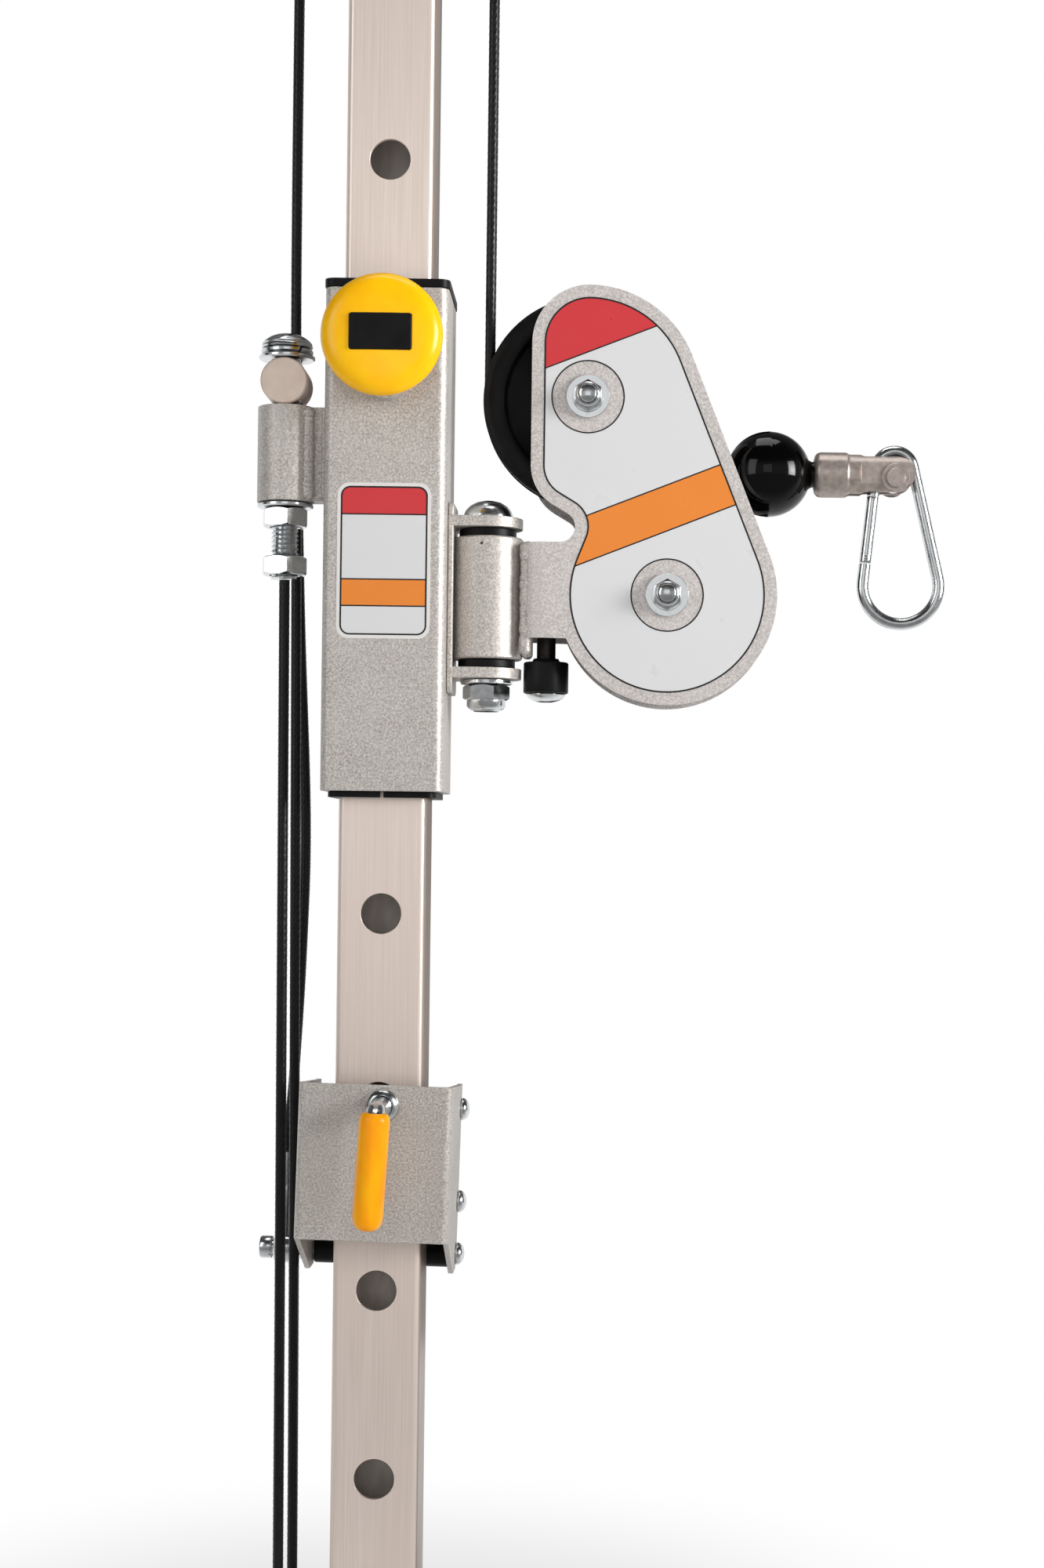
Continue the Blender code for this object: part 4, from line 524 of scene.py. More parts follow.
def flat(point):
    """A place's X and Z."""
    return (point.x, point.z)


RETURN_Y = 0.020
RETURN_XZ = [(-0.0586, PLATE_TOP), (-0.0584, 0.800), (-0.0562, 0.614), (-0.0528, 0.230)]
RETURN_XZ += [(-0.0514, 0.030), (-0.0514, 0.0)]
return_route = smooth_route([(x, RETURN_Y, z) for x, z in RETURN_XZ])
adjuster_route = straight((-0.0592, -0.010, 0.6129), (-0.0556, -0.010, 0.0003), 12)
print("return cable:", round(route_length(return_route), 3), "m")

# %% The bowed cable's route
LEAN = Matrix.Translation((0.0, 0.0, 0.315)) @ Matrix.Rotation(math.radians(1.4), 4, "Y")
EYE_PLACE = Vector((-0.0575, 0.0336, -0.0937))  # in the lower carriage's own frame
FERRULE_TOP = -0.0362
TOUCH = 0.0003  # a gap that doesn't show
eye_top = LEAN @ Vector((EYE_PLACE.x, EYE_PLACE.y, FERRULE_TOP + TOUCH))
BOWED = [  # the cable that bows round the upper carriage, from its eye up
    tuple(eye_top),
    (eye_top.x - 0.0001, eye_top.y, eye_top.z + 0.012),
    (-0.0556, 0.0336, 0.325),
    (-0.0518, 0.0335, 0.400),
    (-0.0506, 0.0335, 0.478),
    (-0.0555, 0.0325, 0.600),
    (-0.0593, 0.0315, 0.740),
    *[(-0.0599, 0.031, height) for height in (0.850, 0.930, CABLE_TOP)],
]
carriage_route = smooth_route(BOWED)
print("carriage cable:", round(route_length(carriage_route), 3), "m")

# %% The pulley cable's route
TOP_AXLE, LOW_AXLE = Vector((0.1142, 0.0, 0.7185)), Vector((0.1607, 0.0, 0.6059))
BALL, BALL_RADIUS = Vector((0.2189, 0.0, 0.6787)), 0.0245
PITCH_RADIUS = 0.0572  # so the cable comes down the swivel axis
reach = Vector((BALL.x - TOP_AXLE.x, BALL.z - TOP_AXLE.z))
rise = math.asin(PITCH_RADIUS / reach.length) + math.atan2(reach.y, reach.x)
wrap = arc(flat(TOP_AXLE), PITCH_RADIUS, 180, 270 + math.degrees(rise), 30)
left = TOP_AXLE.x - PITCH_RADIUS
pulley_route = [Vector((x, 0.0, z)) for x, z in reversed(wrap)]
pulley_route += straight((left, 0.0, TOP_AXLE.z + 0.012), (left, 0.0, CABLE_TOP), 14)
line = Vector((math.cos(rise), 0.0, math.sin(rise)))
tail_route = straight(BALL - line * (BALL_RADIUS - 0.002), pulley_route[0] + line * TOUCH, 8)
print("pulley cable:", round(route_length(pulley_route), 3), "m")


# %% Starting and ending a node tree
def new_tree(name, **sockets):
    """A Geometry Nodes tree, and its own inputs as sockets to link from."""
    tree = bpy.data.node_groups.new(name, "GeometryNodeTree")
    for socket, kind in {"Geometry": "Geometry", **sockets}.items():
        tree.interface.new_socket(socket, in_out="INPUT", socket_type=f"NodeSocket{kind}")
    tree.interface.new_socket("Geometry", in_out="OUTPUT", socket_type="NodeSocketGeometry")
    return tree, add(tree, "NodeGroupInput")


def end_tree(tree, geometry, look):
    """Makes instances real, sets the finish, and ends the tree."""
    real = add(tree, "GeometryNodeRealizeInstances", {"Geometry": geometry})[0]
    done = add(tree, "GeometryNodeSetMaterial", {"Geometry": real, "Material": look})[0]
    add(tree, "NodeGroupOutput", {0: done})


def even_line(tree, geometry, length):
    """A mesh line as a curve with a point at every length."""
    curve = add(tree, "GeometryNodeMeshToCurve", {"Mesh": geometry})[0]
    inputs = {"Curve": curve, "Length": length}
    return add(tree, "GeometryNodeResampleCurve", inputs, mode="LENGTH")[0]


RING_SIDES, RING_STEP = 30, 0.0022
rope, given = new_tree(
    "rope_lay", Radius="Float", Groove="Float", Lay="Float", Strands="Int", Finish="Material"
)
print("rope inputs:", ", ".join(socket.name for socket in given if socket.name))

# %% The lay of a wire rope as Geometry Nodes
even = even_line(rope, given["Geometry"], RING_STEP)
along = add(rope, "GeometryNodeSplineParameter")["Length"]
turns = maths(rope, "MULTIPLY", maths(rope, "DIVIDE", along, given["Lay"]), math.tau)
tilted = add(rope, "GeometryNodeSetCurveTilt", {"Curve": even, "Tilt": turns})[0]
ring = add(rope, "GeometryNodeCurvePrimitiveCircle", {"Resolution": RING_SIDES, "Radius": 1.0})[0]
index = add(rope, "GeometryNodeInputIndex")[0]
angle = maths(rope, "MULTIPLY", index, math.tau / RING_SIDES)
lobes = maths(rope, "COSINE", maths(rope, "MULTIPLY", angle, given["Strands"]))
deep = maths(rope, "MULTIPLY", maths(rope, "SUBTRACT", lobes, 1.0), given["Groove"])
size = maths(rope, "ADD", given["Radius"], deep)
spot = add(rope, "GeometryNodeInputPosition")[0]
wide = vectors(rope, "SCALE", {0: spot, "Scale": size})
profile = add(rope, "GeometryNodeSetPosition", {"Geometry": ring, "Position": wide})[0]
swept = {"Curve": tilted, "Profile Curve": profile, "Fill Caps": True}
swept = add(rope, "GeometryNodeCurveToMesh", swept)[0]
smooth = add(rope, "GeometryNodeSetShadeSmooth", {"Geometry": swept})[0]
end_tree(rope, smooth, given["Finish"])
print("rope tree:", len(rope.nodes), "nodes")

# %% [markdown]
# ## Turned pieces
# Washers, barrels, rollers, knobs and pulleys come off a lathe or out of a round
# mould, so each is one profile of radius and height turned round an axis. One helper
# turns the profile finely, lays its axis along X, Y or Z, and puts it in its place.

# %% Turning
ALONG = {
    "X": Matrix(((0, 0, 1, 0), (1, 0, 0, 0), (0, 1, 0, 0), (0, 0, 0, 1))),
    "-Y": Matrix.Rotation(math.pi / 2, 4, "X"),
    "Z": Matrix.Identity(4),
}


def circle(radius, height, sides):
    """A ring of points round Z, or one point on it."""
    if radius == 0.0:
        return [(0.0, 0.0, height)]
    angles = [math.tau * i / sides for i in range(sides)]
    return [(radius * math.cos(a), radius * math.sin(a), height) for a in angles]


def turned(profile, sides=64):
    """Rings for a profile in mm of (radius, height). One off the axis is a closed ring."""
    return [circle(r * MM, z * MM, sides) for r, z in profile]


def loft(shape, rings, closed=False):
    """Faces between rings of points. A ring of one point closes the surface there."""
    made = [[shape.verts.new(point) for point in ring] for ring in rings]
    for lower, upper in zip(made, made[1:] + (made[:1] if closed else [])):
        count = max(len(lower), len(upper))
        for i in range(count):
            j = (i + 1) % count
            corners = [lower[i % len(lower)], lower[j % len(lower)]]
            corners += [upper[j % len(upper)], upper[i % len(upper)]]
            shape.faces.new(dict.fromkeys(corners))
    bmesh.ops.recalc_face_normals(shape, faces=shape.faces)
    return made


print("points of a ring:", len(circle(1.0, 0.0, 64)))

# %% From rings to a mesh
SHARP_DEG = 38  # an edge that turns more than this stays sharp


def shaped(shape, name, place=(0.0, 0.0, 0.0), smooth_angle=35, turn=None):
    """Ends a bmesh as a smooth mesh, turned and then put in its place."""
    mesh = bpy.data.meshes.new(name)
    shape.to_mesh(mesh)
    shape.free()
    if turn is not None:
        mesh.transform(turn)
    mesh.transform(Matrix.Translation(place))
    mesh.shade_smooth()
    mesh.set_sharp_from_angle(angle=math.radians(smooth_angle))
    return mesh


def turned_mesh(name, parts, place, axis="Z", extra=None):
    """One mesh from several lofted parts, laid along an axis and put in its place."""
    shape = bmesh.new()
    for rings in parts:
        loft(shape, rings, closed=len(rings[0]) > 1)
    turn = ALONG[axis] if extra is None else extra @ ALONG[axis]
    return shaped(shape, name, place, SHARP_DEG, turn)


print("axes:", ", ".join(ALONG))


# %% Pieces
def piece(name, mesh, body, *replaced, look=None):
    """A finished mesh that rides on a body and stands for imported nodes."""
    obj = shown(name, mesh)
    if look is not None:
        mesh.materials.clear()
        mesh.materials.append(look)
    if replaced:
        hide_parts(*replaced)
    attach(obj, body)
    print("made", name, "on", body)
    return obj


def turned_piece(name, parts, place, body, *replaced, axis="Z", look=zinc, extra=None):
    """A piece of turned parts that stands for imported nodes."""
    return piece(name, turned_mesh(name, parts, place, axis, extra), body, *replaced, look=look)


# %% [markdown]
# ## The ropes on their routes
# Each rope is grown from its route. In the
# photo the moving cables run on out of the picture. Here they end, and a bare cut end
# would look wrong, so each carries a crimped sleeve. The sleeve is a guess.


# %% Plain meshes from a tree
def settled(name, helper, *tools):
    """The plain mesh that a helper's modifiers make. The helper and its tools go."""
    helper.update_tag()
    bpy.context.view_layer.update()
    graph = bpy.context.evaluated_depsgraph_get()
    mesh = bpy.data.meshes.new_from_object(helper.evaluated_get(graph), depsgraph=graph)
    mesh.name = name
    for obj in (helper, *tools):
        bpy.data.objects.remove(obj, do_unlink=True)
    return mesh


def grown(name, mesh, tree, **values):
    """Runs a node tree on a mesh and returns the plain mesh that comes out."""
    helper = shown(name, mesh)
    modifier = helper.modifiers.new(tree.name, "NODES")
    modifier.node_group = tree
    for socket in tree.interface.items_tree:
        if socket.in_out == "INPUT" and socket.name in values:
            modifier[socket.identifier] = values[socket.name]
    return settled(name, helper)


def route_mesh(name, route):
    """A mesh of one line along a route."""
    mesh = bpy.data.meshes.new(name)
    mesh.from_pydata(route, [(i, i + 1) for i in range(len(route) - 1)], [])
    return mesh


print("node trees:", len(bpy.data.node_groups))

# %% The five cables
STRAND_LAY = 0.030  # one turn of a strand
STRAND_GROOVE = 0.00005
TIP_LENGTH = 0.012
# Crimped sleeves sit on the moving cables' upper ends, slim enough for the plate's holes.
TIP = [(0.0, 0.0), (3.3, 0.0), (3.7, 0.5), (3.75, 3.5), (3.45, 4.2), (3.45, 6.4)]
TIP += [(3.75, 7.1), (3.75, 11.2), (3.2, 12.0), (0.0, 12.0)]


def crimped(name, route, body):
    """A crimped sleeve on a cable's upper end."""
    return turned_piece(name, [turned(TIP, 32)], route[-1] - Vector((0, 0, TIP_LENGTH)), body)


def cable(name, route, body, node, far_end, *tips):
    """A wire rope in its jacket, grown along its route as a piece on its body. The tips that it is
    given are not used.
    """
    lay = {"Radius": CABLE_RADIUS, "Groove": STRAND_GROOVE, "Lay": STRAND_LAY, "Strands": 7}
    mesh = grown(name, route_mesh(name, route), rope, Finish=jacket, **lay)
    obj = piece(name, mesh, body, node)


carriage_tip = crimped("carriage_cable_tip", carriage_route, "lower_carriage")
pulley_tip = crimped("pulley_cable_tip", pulley_route, "swivel")
cable("return_rope", return_route, "column", "return_cable", "object")
cable("adjuster_rope", adjuster_route, "upper_carriage", "adjuster_cable", "object")
cable(
    "carriage_rope", carriage_route, "lower_carriage", "carriage_cable", "fitting", carriage_tip
)
cable("pulley_rope", pulley_route, "swivel", "pulley_cable", "fitting", pulley_tip)
cable("tail_rope", tail_route, "cable_end", "cable_tail", "object")

# %% [markdown]
# ## Plates and tubes
# The folded plates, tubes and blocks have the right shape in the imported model, with
# sharp edges. Real sheet metal has its edges broken by a file and rounded by paint,
# and that thin bright line is what makes an edge look real. So a copy of each mesh is
# welded, its flat faces are joined, and a small bevel with weighted normals is baked in.


# %% Rounding edges
def baked(name, mesh, edge_mm, segments=2, angle=SHARP_DEG, **shapes):
    """The mesh with shapes joined, kept or cut, and its sharp edges rounded, as a plain mesh."""
    helper = shown(name, mesh)
    tools = []
    for word, operation in (("joins", "UNION"), ("keeps", "INTERSECT"), ("cutters", "DIFFERENCE")):
        for other in shapes.get(word, ()):
            tools.append(shown(f"{name}_{word}", other))
            boolean = helper.modifiers.new(word, "BOOLEAN")
            boolean.operation, boolean.solver, boolean.object = operation, "EXACT", tools[-1]
    if edge_mm:
        edges = helper.modifiers.new("edges", "BEVEL")
        edges.width, edges.segments, edges.limit_method = edge_mm * MM, segments, "ANGLE"
        edges.angle_limit = math.radians(angle)
    helper.modifiers.new("normals", "WEIGHTED_NORMAL").keep_sharp = True
    return settled(name, helper, *tools)


WELD_DISTANCE, FLAT_DEG = 2e-6, 0.6


def dressed(node, name, look, edge_mm):
    """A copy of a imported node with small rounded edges, in its place and on its body."""
    source = nodes[node]
    shape = bmesh.new()
    shape.from_mesh(source.data)
    bmesh.ops.remove_doubles(shape, verts=shape.verts, dist=WELD_DISTANCE)
    flat_faces = {"verts": shape.verts, "edges": shape.edges}
    bmesh.ops.dissolve_limit(shape, angle_limit=math.radians(FLAT_DEG), **flat_faces)
    mesh = shaped(shape, name, smooth_angle=SHARP_DEG)
    if "custom_normal" in mesh.attributes:
        mesh.attributes.remove(mesh.attributes["custom_normal"])
    piece(name, baked(name, mesh, edge_mm), source["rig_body"], node, look=look)


print("edges stay sharp from", SHARP_DEG, "degrees")

# %% The folded and cut parts
DRESSED = {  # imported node: (piece, finish, edge in mm)
    "carriage_sleeve": ("sleeve_tube", silver, 0.5),
    "pivot_bracket": ("bracket_fold", silver, 0.6),
    "lower_channel": ("channel_fold", silver, 0.4),
    "foot_plate": ("foot_flat", silver, 0.8),
    "top_plate": ("top_flat", silver, 0.8),
    "anchor_barrel": ("anchor_tube", silver, 0.4),
    "pin_barrel": ("pin_boss", silver, 0.5),
    "upper_bushing": ("cap_bushing", nylon, 0.5),
    "lower_bushing_left": ("foot_bushing_left", nylon, 0.3),
    "lower_bushing_right": ("foot_bushing_right", nylon, 0.3),
    "plunger_block": ("plunger_guide", zinc, 0.3),
    "front_pad": ("glide_pad", nylon, 0.4),
}
for node, row in DRESSED.items():
    dressed(node, *row)

# %% [markdown]
# ## The guide column
# A drawn square tube with a row of 23 mm holes in its front wall. The holes are what
# the pins drop into, and each has a filed rim that catches the light. The tube is
# lofted from four rounded squares, the holes are cut at once by a row of cylinders,
# and the bevel rounds every rim. Its inside has no plate, only dull mill-grey steel.

# %% The guide column
SIDE, WALL, CORNER = 0.050, 0.003, 0.004
COLUMN_LOW, COLUMN_HIGH = 0.0083, 0.985
FIRST_HOLE, HOLE_PITCH, HOLES, HOLE_RADIUS = 0.1004, 0.1073, 8, 0.0115
RIM_MM = 0.35  # the filed rims


def rounded(left, right, low, high, radius, steps=8):
    """The outline of a rectangle with rounded corners."""
    left, right, low, high = left + radius, right - radius, low + radius, high - radius
    centres = ((right, high), (left, high), (left, low), (right, low))
    starts = (0, 90, 180, 270)
    return [p for c, a in zip(centres, starts) for p in arc(c, radius, a, a + 90, steps)]


def square_ring(half, radius, height):
    """A rounded square at a height."""
    return [(x, y, height) for x, y in rounded(-half, half, -half, half, radius)]


INSIDE = SIDE / 2 - WALL
walls = [(SIDE / 2, CORNER, COLUMN_LOW), (SIDE / 2, CORNER, COLUMN_HIGH)]
walls += [(INSIDE, CORNER - WALL, COLUMN_HIGH), (INSIDE, CORNER - WALL, COLUMN_LOW)]
shape = bmesh.new()
loft(shape, [square_ring(*wall) for wall in walls], closed=True)
tube_mesh = shaped(shape, "column_tube")
shape = bmesh.new()
for number in range(HOLES):
    place = Matrix.Translation((0.0, -SIDE / 2, FIRST_HOLE + number * HOLE_PITCH))
    size = {"segments": 72, "radius1": HOLE_RADIUS, "radius2": HOLE_RADIUS, "depth": 4 * WALL}
    bmesh.ops.create_cone(shape, cap_ends=True, matrix=place @ ALONG["-Y"], **size)
column_mesh = baked("column_tube", tube_mesh, RIM_MM, cutters=[shaped(shape, "punches")])
piece("column_tube", column_mesh, "column", "guide_column", look=nickel)
column_mesh.materials.append(mill)
within = SIDE / 2 - WALL * 0.9  # just outside the inner faces
for face in column_mesh.polygons:
    upright = abs(face.normal.z) < 0.5
    if upright and max(abs(face.center.x), abs(face.center.y)) < within:
        face.material_index = 1
print("column faces inside:", sum(f.material_index for f in column_mesh.polygons))

# %% [markdown]
# ## The pulleys and their axles
# Two nylon pulleys carry the cable whichever way it is pulled. The groove is as wide
# as the cable, the web is thin, and the hub turns on a steel sleeve between the
# plates. Each axle is a bolt from the back with a washer and a lock nut in front.

# %% Nuts and rings
CHAMFER = 0.97  # where a nut's chamfer starts, as a share of its half width


def hexagon(flats, height, sides, drop):
    """A ring of points on a hexagon. Its corners lie lower, as a chamfer cuts them."""
    ring = []
    for i in range(sides):
        a = math.tau * i / sides
        radius = flats / 2 / math.cos((a + math.pi / 6) % (math.pi / 3) - math.pi / 6)
        cut = drop * (radius - flats / 2 * CHAMFER) * math.tan(math.pi / 6)
        ring.append((radius * math.cos(a), radius * math.sin(a), height + cut))
    return ring


def nut_rings(flats, height, bore, middle=0.0, sides=72):
    """Rings for a hexagon nut in mm, with both faces chamfered."""
    low, high = (middle - height / 2) * MM, (middle + height / 2) * MM
    face, bore, flats, edge = flats / 2 * CHAMFER * MM, bore * MM, flats * MM, 0.6 * MM
    return [
        circle(bore, low + edge, sides),
        circle(bore + edge, low, sides),
        circle(face, low, sides),
        hexagon(flats, low, sides, 1.0),
        hexagon(flats, high, sides, -1.0),
        circle(face, high, sides),
        circle(bore + edge, high, sides),
        circle(bore, high - edge, sides),
    ]


def ring_profile(outer, bore, low, high, edge=0.4):
    """The profile of a flat ring with broken edges, in mm."""
    start = [(bore, low + edge), (bore + edge, low), (outer - edge, low), (outer, low + edge)]
    end = [(outer, high - edge), (outer - edge, high), (bore + edge, high), (bore, high - edge)]
    return start + end


print("points of a nut:", sum(len(ring) for ring in nut_rings(15.0, 5.6, 5.3)))

# %% Pulleys and axles
# Half of the pulley's section: radius and half width in mm.
PULLEY = [(8.7, 12.4), (9.3, 13.0), (14.4, 13.0), (15.0, 12.4), (15.8, 6.2), (17.2, 5.1)]
PULLEY += [(45.6, 5.0), (46.9, 5.7), (48.2, 9.7), (49.6, 10.5), (56.6, 10.5), (58.6, 9.3)]
PULLEY += [(60.3, 7.2), (60.5, 6.6)]
PULLEY += [(57.2 - 3.4 * math.cos(a), 3.4 * math.sin(a)) for a in map(math.radians, (58, 35, 12))]
pulley = turned(PULLEY + [(r, -z) for r, z in reversed(PULLEY)], 128)
FACE_MM = 21.6  # the housing plates' outer faces, with the gap, from the middle
disc = turned(ring_profile(12.4, 5.3, FACE_MM, FACE_MM + 2.0, 0.35))
flange = turned([(5.3, 24.0), (8.6, 24.0), (9.0, 24.3), (8.9, 24.9), (5.3, 24.9)])
collar = [(5.4, 26.0), (7.1, 26.0), (7.1, 30.6), (6.5, 31.6), (5.9, 31.9), (5.3, 31.6)]
lock_nut = [flange, nut_rings(15.0, 5.6, 5.3, 27.2), turned(collar)]
stem = [(0.0, -31.4), (2.4, -31.4), (2.4, -24.0), (5.0, -23.0), (5.0, 33.4), (4.7, 34.2)]
stem += [(3.6, 34.8), (0.0, 34.9)]
seat = turned(ring_profile(12.4, 4.0, -FACE_MM - 2.0, -FACE_MM, 0.35))
screw = [turned(stem), nut_rings(15.0, 7.2, 1.5, -27.6), seat]
for which, place in (("upper", TOP_AXLE), ("lower", LOW_AXLE)):
    wheel = f"{which}_pulley"
    turned_piece(f"{wheel}_turned", [pulley], place, wheel, wheel, axis="-Y", look=nylon)
    for name, parts, node in (
        ("disc", [disc], "washer"),
        ("lock_nut", lock_nut, "nut"),
        ("screw", screw, "bolt"),
    ):
        axle = f"{which}_axle_"
        turned_piece(axle + name, parts, place, "swivel", axle + node, axis="-Y")

# %% [markdown]
# ## Threads
# The adjuster stud shows its thread between and under its two nuts. A thread is a rule:
# the radius depends on the height and the angle together. So Geometry Nodes take a
# plain cylinder and move each point of its side in by a triangle wave of that sum.

# %% A thread as Geometry Nodes
THREAD_DEPTH = 0.6134  # of the pitch
ROD_SIDES, RINGS_PER_TURN = 48, 8
thread, given = new_tree(
    "screw_thread", Radius="Float", Length="Float", Pitch="Float", Depth="Float", Rings="Int",
    Finish="Material",
)
rod = {"Vertices": ROD_SIDES, "Side Segments": given["Rings"]}
rod = {**rod, "Radius": given["Radius"], "Depth": given["Length"]}
rod = add(thread, "GeometryNodeMeshCylinder", rod)["Mesh"]
spot = add(thread, "GeometryNodeInputPosition")[0]
axes = add(thread, "ShaderNodeSeparateXYZ", {"Vector": spot})
around = maths(thread, "DIVIDE", maths(thread, "ARCTAN2", axes["Y"], axes["X"]), math.tau)
wave = maths(thread, "SUBTRACT", maths(thread, "DIVIDE", axes["Z"], given["Pitch"]), around)
tooth = maths(thread, "ABSOLUTE", maths(thread, "SUBTRACT", maths(thread, "FRACT", wave), 0.5))
inward = maths(thread, "MULTIPLY", maths(thread, "MULTIPLY", tooth, -2.0), given["Depth"])
level = vectors(thread, "MULTIPLY", {0: spot, 1: (1.0, 1.0, 0.0)})
outward = vectors(thread, "NORMALIZE", {0: level})
shift = vectors(thread, "SCALE", {0: outward, "Scale": inward})
cut = add(thread, "GeometryNodeSetPosition", {"Geometry": rod, "Offset": shift})[0]
end_tree(thread, cut, given["Finish"])
print("thread tree:", len(thread.nodes), "nodes")


# %% Threaded lengths
def joined(name, *meshes):
    """Several meshes as one."""
    shape = bmesh.new()
    for mesh in meshes:
        shape.from_mesh(mesh)
    return shaped(shape, name)


def threaded(name, radius, low, high, pitch, place):
    """A threaded length of rod along Z, in mm from place."""
    size = {"Radius": radius, "Length": high - low, "Pitch": pitch, "Depth": THREAD_DEPTH * pitch}
    size = {socket: value * MM for socket, value in size.items()}
    seed = sheet_mesh(name, [(0, 0, 0), (MM, 0, 0), (0, MM, 0)])
    rings = int((high - low) / pitch * RINGS_PER_TURN)
    mesh = grown(name, seed, thread, Rings=rings, Finish=zinc, **size)
    mesh.transform(Matrix.Translation(place + Vector((0, 0, (low + high) / 2 * MM))))
    return mesh


print("a thread's depth is", THREAD_DEPTH, "of its pitch")

# %% [markdown]
# ## The cable adjuster
# The stud hangs in a cross rod on the left of the sleeve. Its two nuts set how far the
# cable is drawn up and lock it. The head is a smooth dome over a split ring and a
# washer.

# %% The adjuster's stud
STUD = Vector((-0.0592, -0.010, 0.0))
PITCH_MM = 2.6
SPLIT_MM, CROSS_MM = 743.7, 725.4  # heights of the ring's split and of the cross rod


def at_stud(height_mm):
    """A place on the stud's axis."""
    return STUD + Vector((0.0, 0.0, height_mm * MM))


def turn_deg(angle, axis):
    """A turn round an axis, in degrees."""
    return Matrix.Rotation(math.radians(angle), 4, axis)


def slab(name, width, height, corner, near, far, place=(0.0, 0.0, 0.0)):
    """A plate with rounded corners in XZ, between two depths, in mm."""
    loop = rounded(-width / 2, width / 2, -height / 2, height / 2, corner, 6)
    rings = [[(x * MM, y * MM, z * MM) for x, z in loop] for y in (near, far)]
    shape = bmesh.new()
    loft(shape, [[(0.0, near * MM, 0.0)], *rings, [(0.0, far * MM, 0.0)]])
    return shaped(shape, name, place)


head = [(0.0, 754.4), (3.6, 754.2), (7.2, 753.4), (10.4, 752.0), (12.8, 750.2), (14.0, 748.9)]
head += [(14.2, 748.5), (13.6, 748.2), (13.6, 748.0), (14.4, 747.6), (14.6, 746.6), (14.3, 745.7)]
head += [(13.2, 745.5), (8.0, 745.4), (8.0, 656.0), (6.9, 655.4), (0.0, 655.4)]
stud_head = turned_mesh("stud_head", [turned(head[::-1], 80)], STUD)
stud_thread = threaded("stud_thread", 8.0, 613.4, 655.6, PITCH_MM, STUD)
ring = turned_mesh("split_ring", [turned(ring_profile(14.8, 8.3, 742.3, 745.2, 0.8), 96)], STUD)
split = slab("split", 1.1, 9.0, 0.2, -30.0, 0.0)
split.transform(Matrix.Translation(at_stud(SPLIT_MM)) @ turn_deg(38, "Z") @ turn_deg(30, "Y"))
split_ring = baked("split_ring", ring, 0, cutters=[split])
stud = joined("adjuster_stud_fine", stud_head, stud_thread, split_ring)
piece("adjuster_stud_fine", stud, "upper_carriage", "adjuster_stud", look=zinc)

# %% The adjuster's nuts and cross rod
for name, node, low in (
    ("adjuster_disc", "adjuster_washer", 739.1),
    ("adjuster_lower_disc", "adjuster_lower_washer", 654.1),
):
    disc = [(8.4, low + 0.4), (8.8, low), (15.2, low), (16.0, low + 0.7), (16.0, low + 1.9)]
    disc += [(15.1, low + 2.6), (8.8, low + 2.8), (8.4, low + 2.4)]
    turned_piece(name, [turned(disc)], STUD, "upper_carriage", node)
nut, spun = [nut_rings(24.0, 10.6, 8.3)], turn_deg(12, "Z")
for node, middle in (("adjuster_nut", 648.4), ("adjuster_locknut", 620.8)):
    turned_piece(f"{node}_fine", nut, at_stud(middle), "upper_carriage", node, extra=spun)

cross = [(0.0, -14.0), (12.6, -14.0), (13.4, -13.2), (13.4, 13.2), (12.6, 14.0), (0.0, 14.0)]
cross = turned_mesh("cross_rod", [turned(cross, 96)], at_stud(CROSS_MM), "-Y")
bore = [(0.0, -20.0), (8.4, -20.0), (8.4, 20.0), (0.0, 20.0)]
bore = turned_mesh("bore", [turned(bore)], at_stud(CROSS_MM))
cross = baked("cross_rod", cross, 0, cutters=[bore])
piece("cross_rod", cross, "upper_carriage", "trunnion", look=steel)

# %% [markdown]
# ## The swivel
# The pulley housing swings on a thick barrel between two ears. A dome-headed bolt goes
# through flanged bushings, and a washer and a lock nut hold it from below. A small
# hole near the barrel's top lets grease in.

# %% The swivel
SWIVEL = Vector((0.057, 0.0, 0.0))
GREASE_HOLE = (0.0545, -0.0206, 0.6345)
barrel = [(12.5, 569.1), (19.6, 569.1), (20.6, 570.0), (20.6, 638.2), (19.6, 639.1), (12.5, 639.1)]
barrel = turned_mesh("barrel_tube", [turned(barrel, 96)], SWIVEL)
grease = turned([(0.0, -6.0), (0.9, -6.0), (0.9, 6.0), (0.0, 6.0)], 20)
grease = turned_mesh("grease", [grease], GREASE_HOLE, "-Y")
barrel = baked("barrel_tube", barrel, 0, cutters=[grease])
piece("barrel_tube", barrel, "swivel", "swivel_barrel", look=silver)
for name, node, flange, skirt in (
    ("upper_flanged_bush", "upper_pivot_bushing", (639.4, 644.1), (621.4, 639.4)),
    ("lower_flanged_bush", "lower_pivot_bushing", (564.1, 568.8), (568.8, 586.8)),
):
    parts = [turned(ring_profile(16.5, 8.4, *flange, 0.5))]
    parts += [turned(ring_profile(12.1, 8.4, *skirt, 0.3))]
    turned_piece(name, parts, SWIVEL, "upper_carriage", node, look=nylon)
dome = [(0.0, 661.2), (3.5, 661.0), (7.4, 660.0), (10.8, 658.0), (13.2, 655.3), (14.4, 652.3)]
dome += [(14.5, 651.4), (14.1, 650.8), (8.0, 650.8), (8.0, 540.4), (7.2, 539.3), (0.0, 539.2)]
turned_piece("pivot_dome_bolt", [turned(dome[::-1], 80)], SWIVEL, "upper_carriage", "pivot_bolt")
disc = [turned(ring_profile(15.0, 8.3, 555.0, 557.5, 0.5))]
turned_piece("pivot_disc", disc, SWIVEL, "upper_carriage", "pivot_washer")
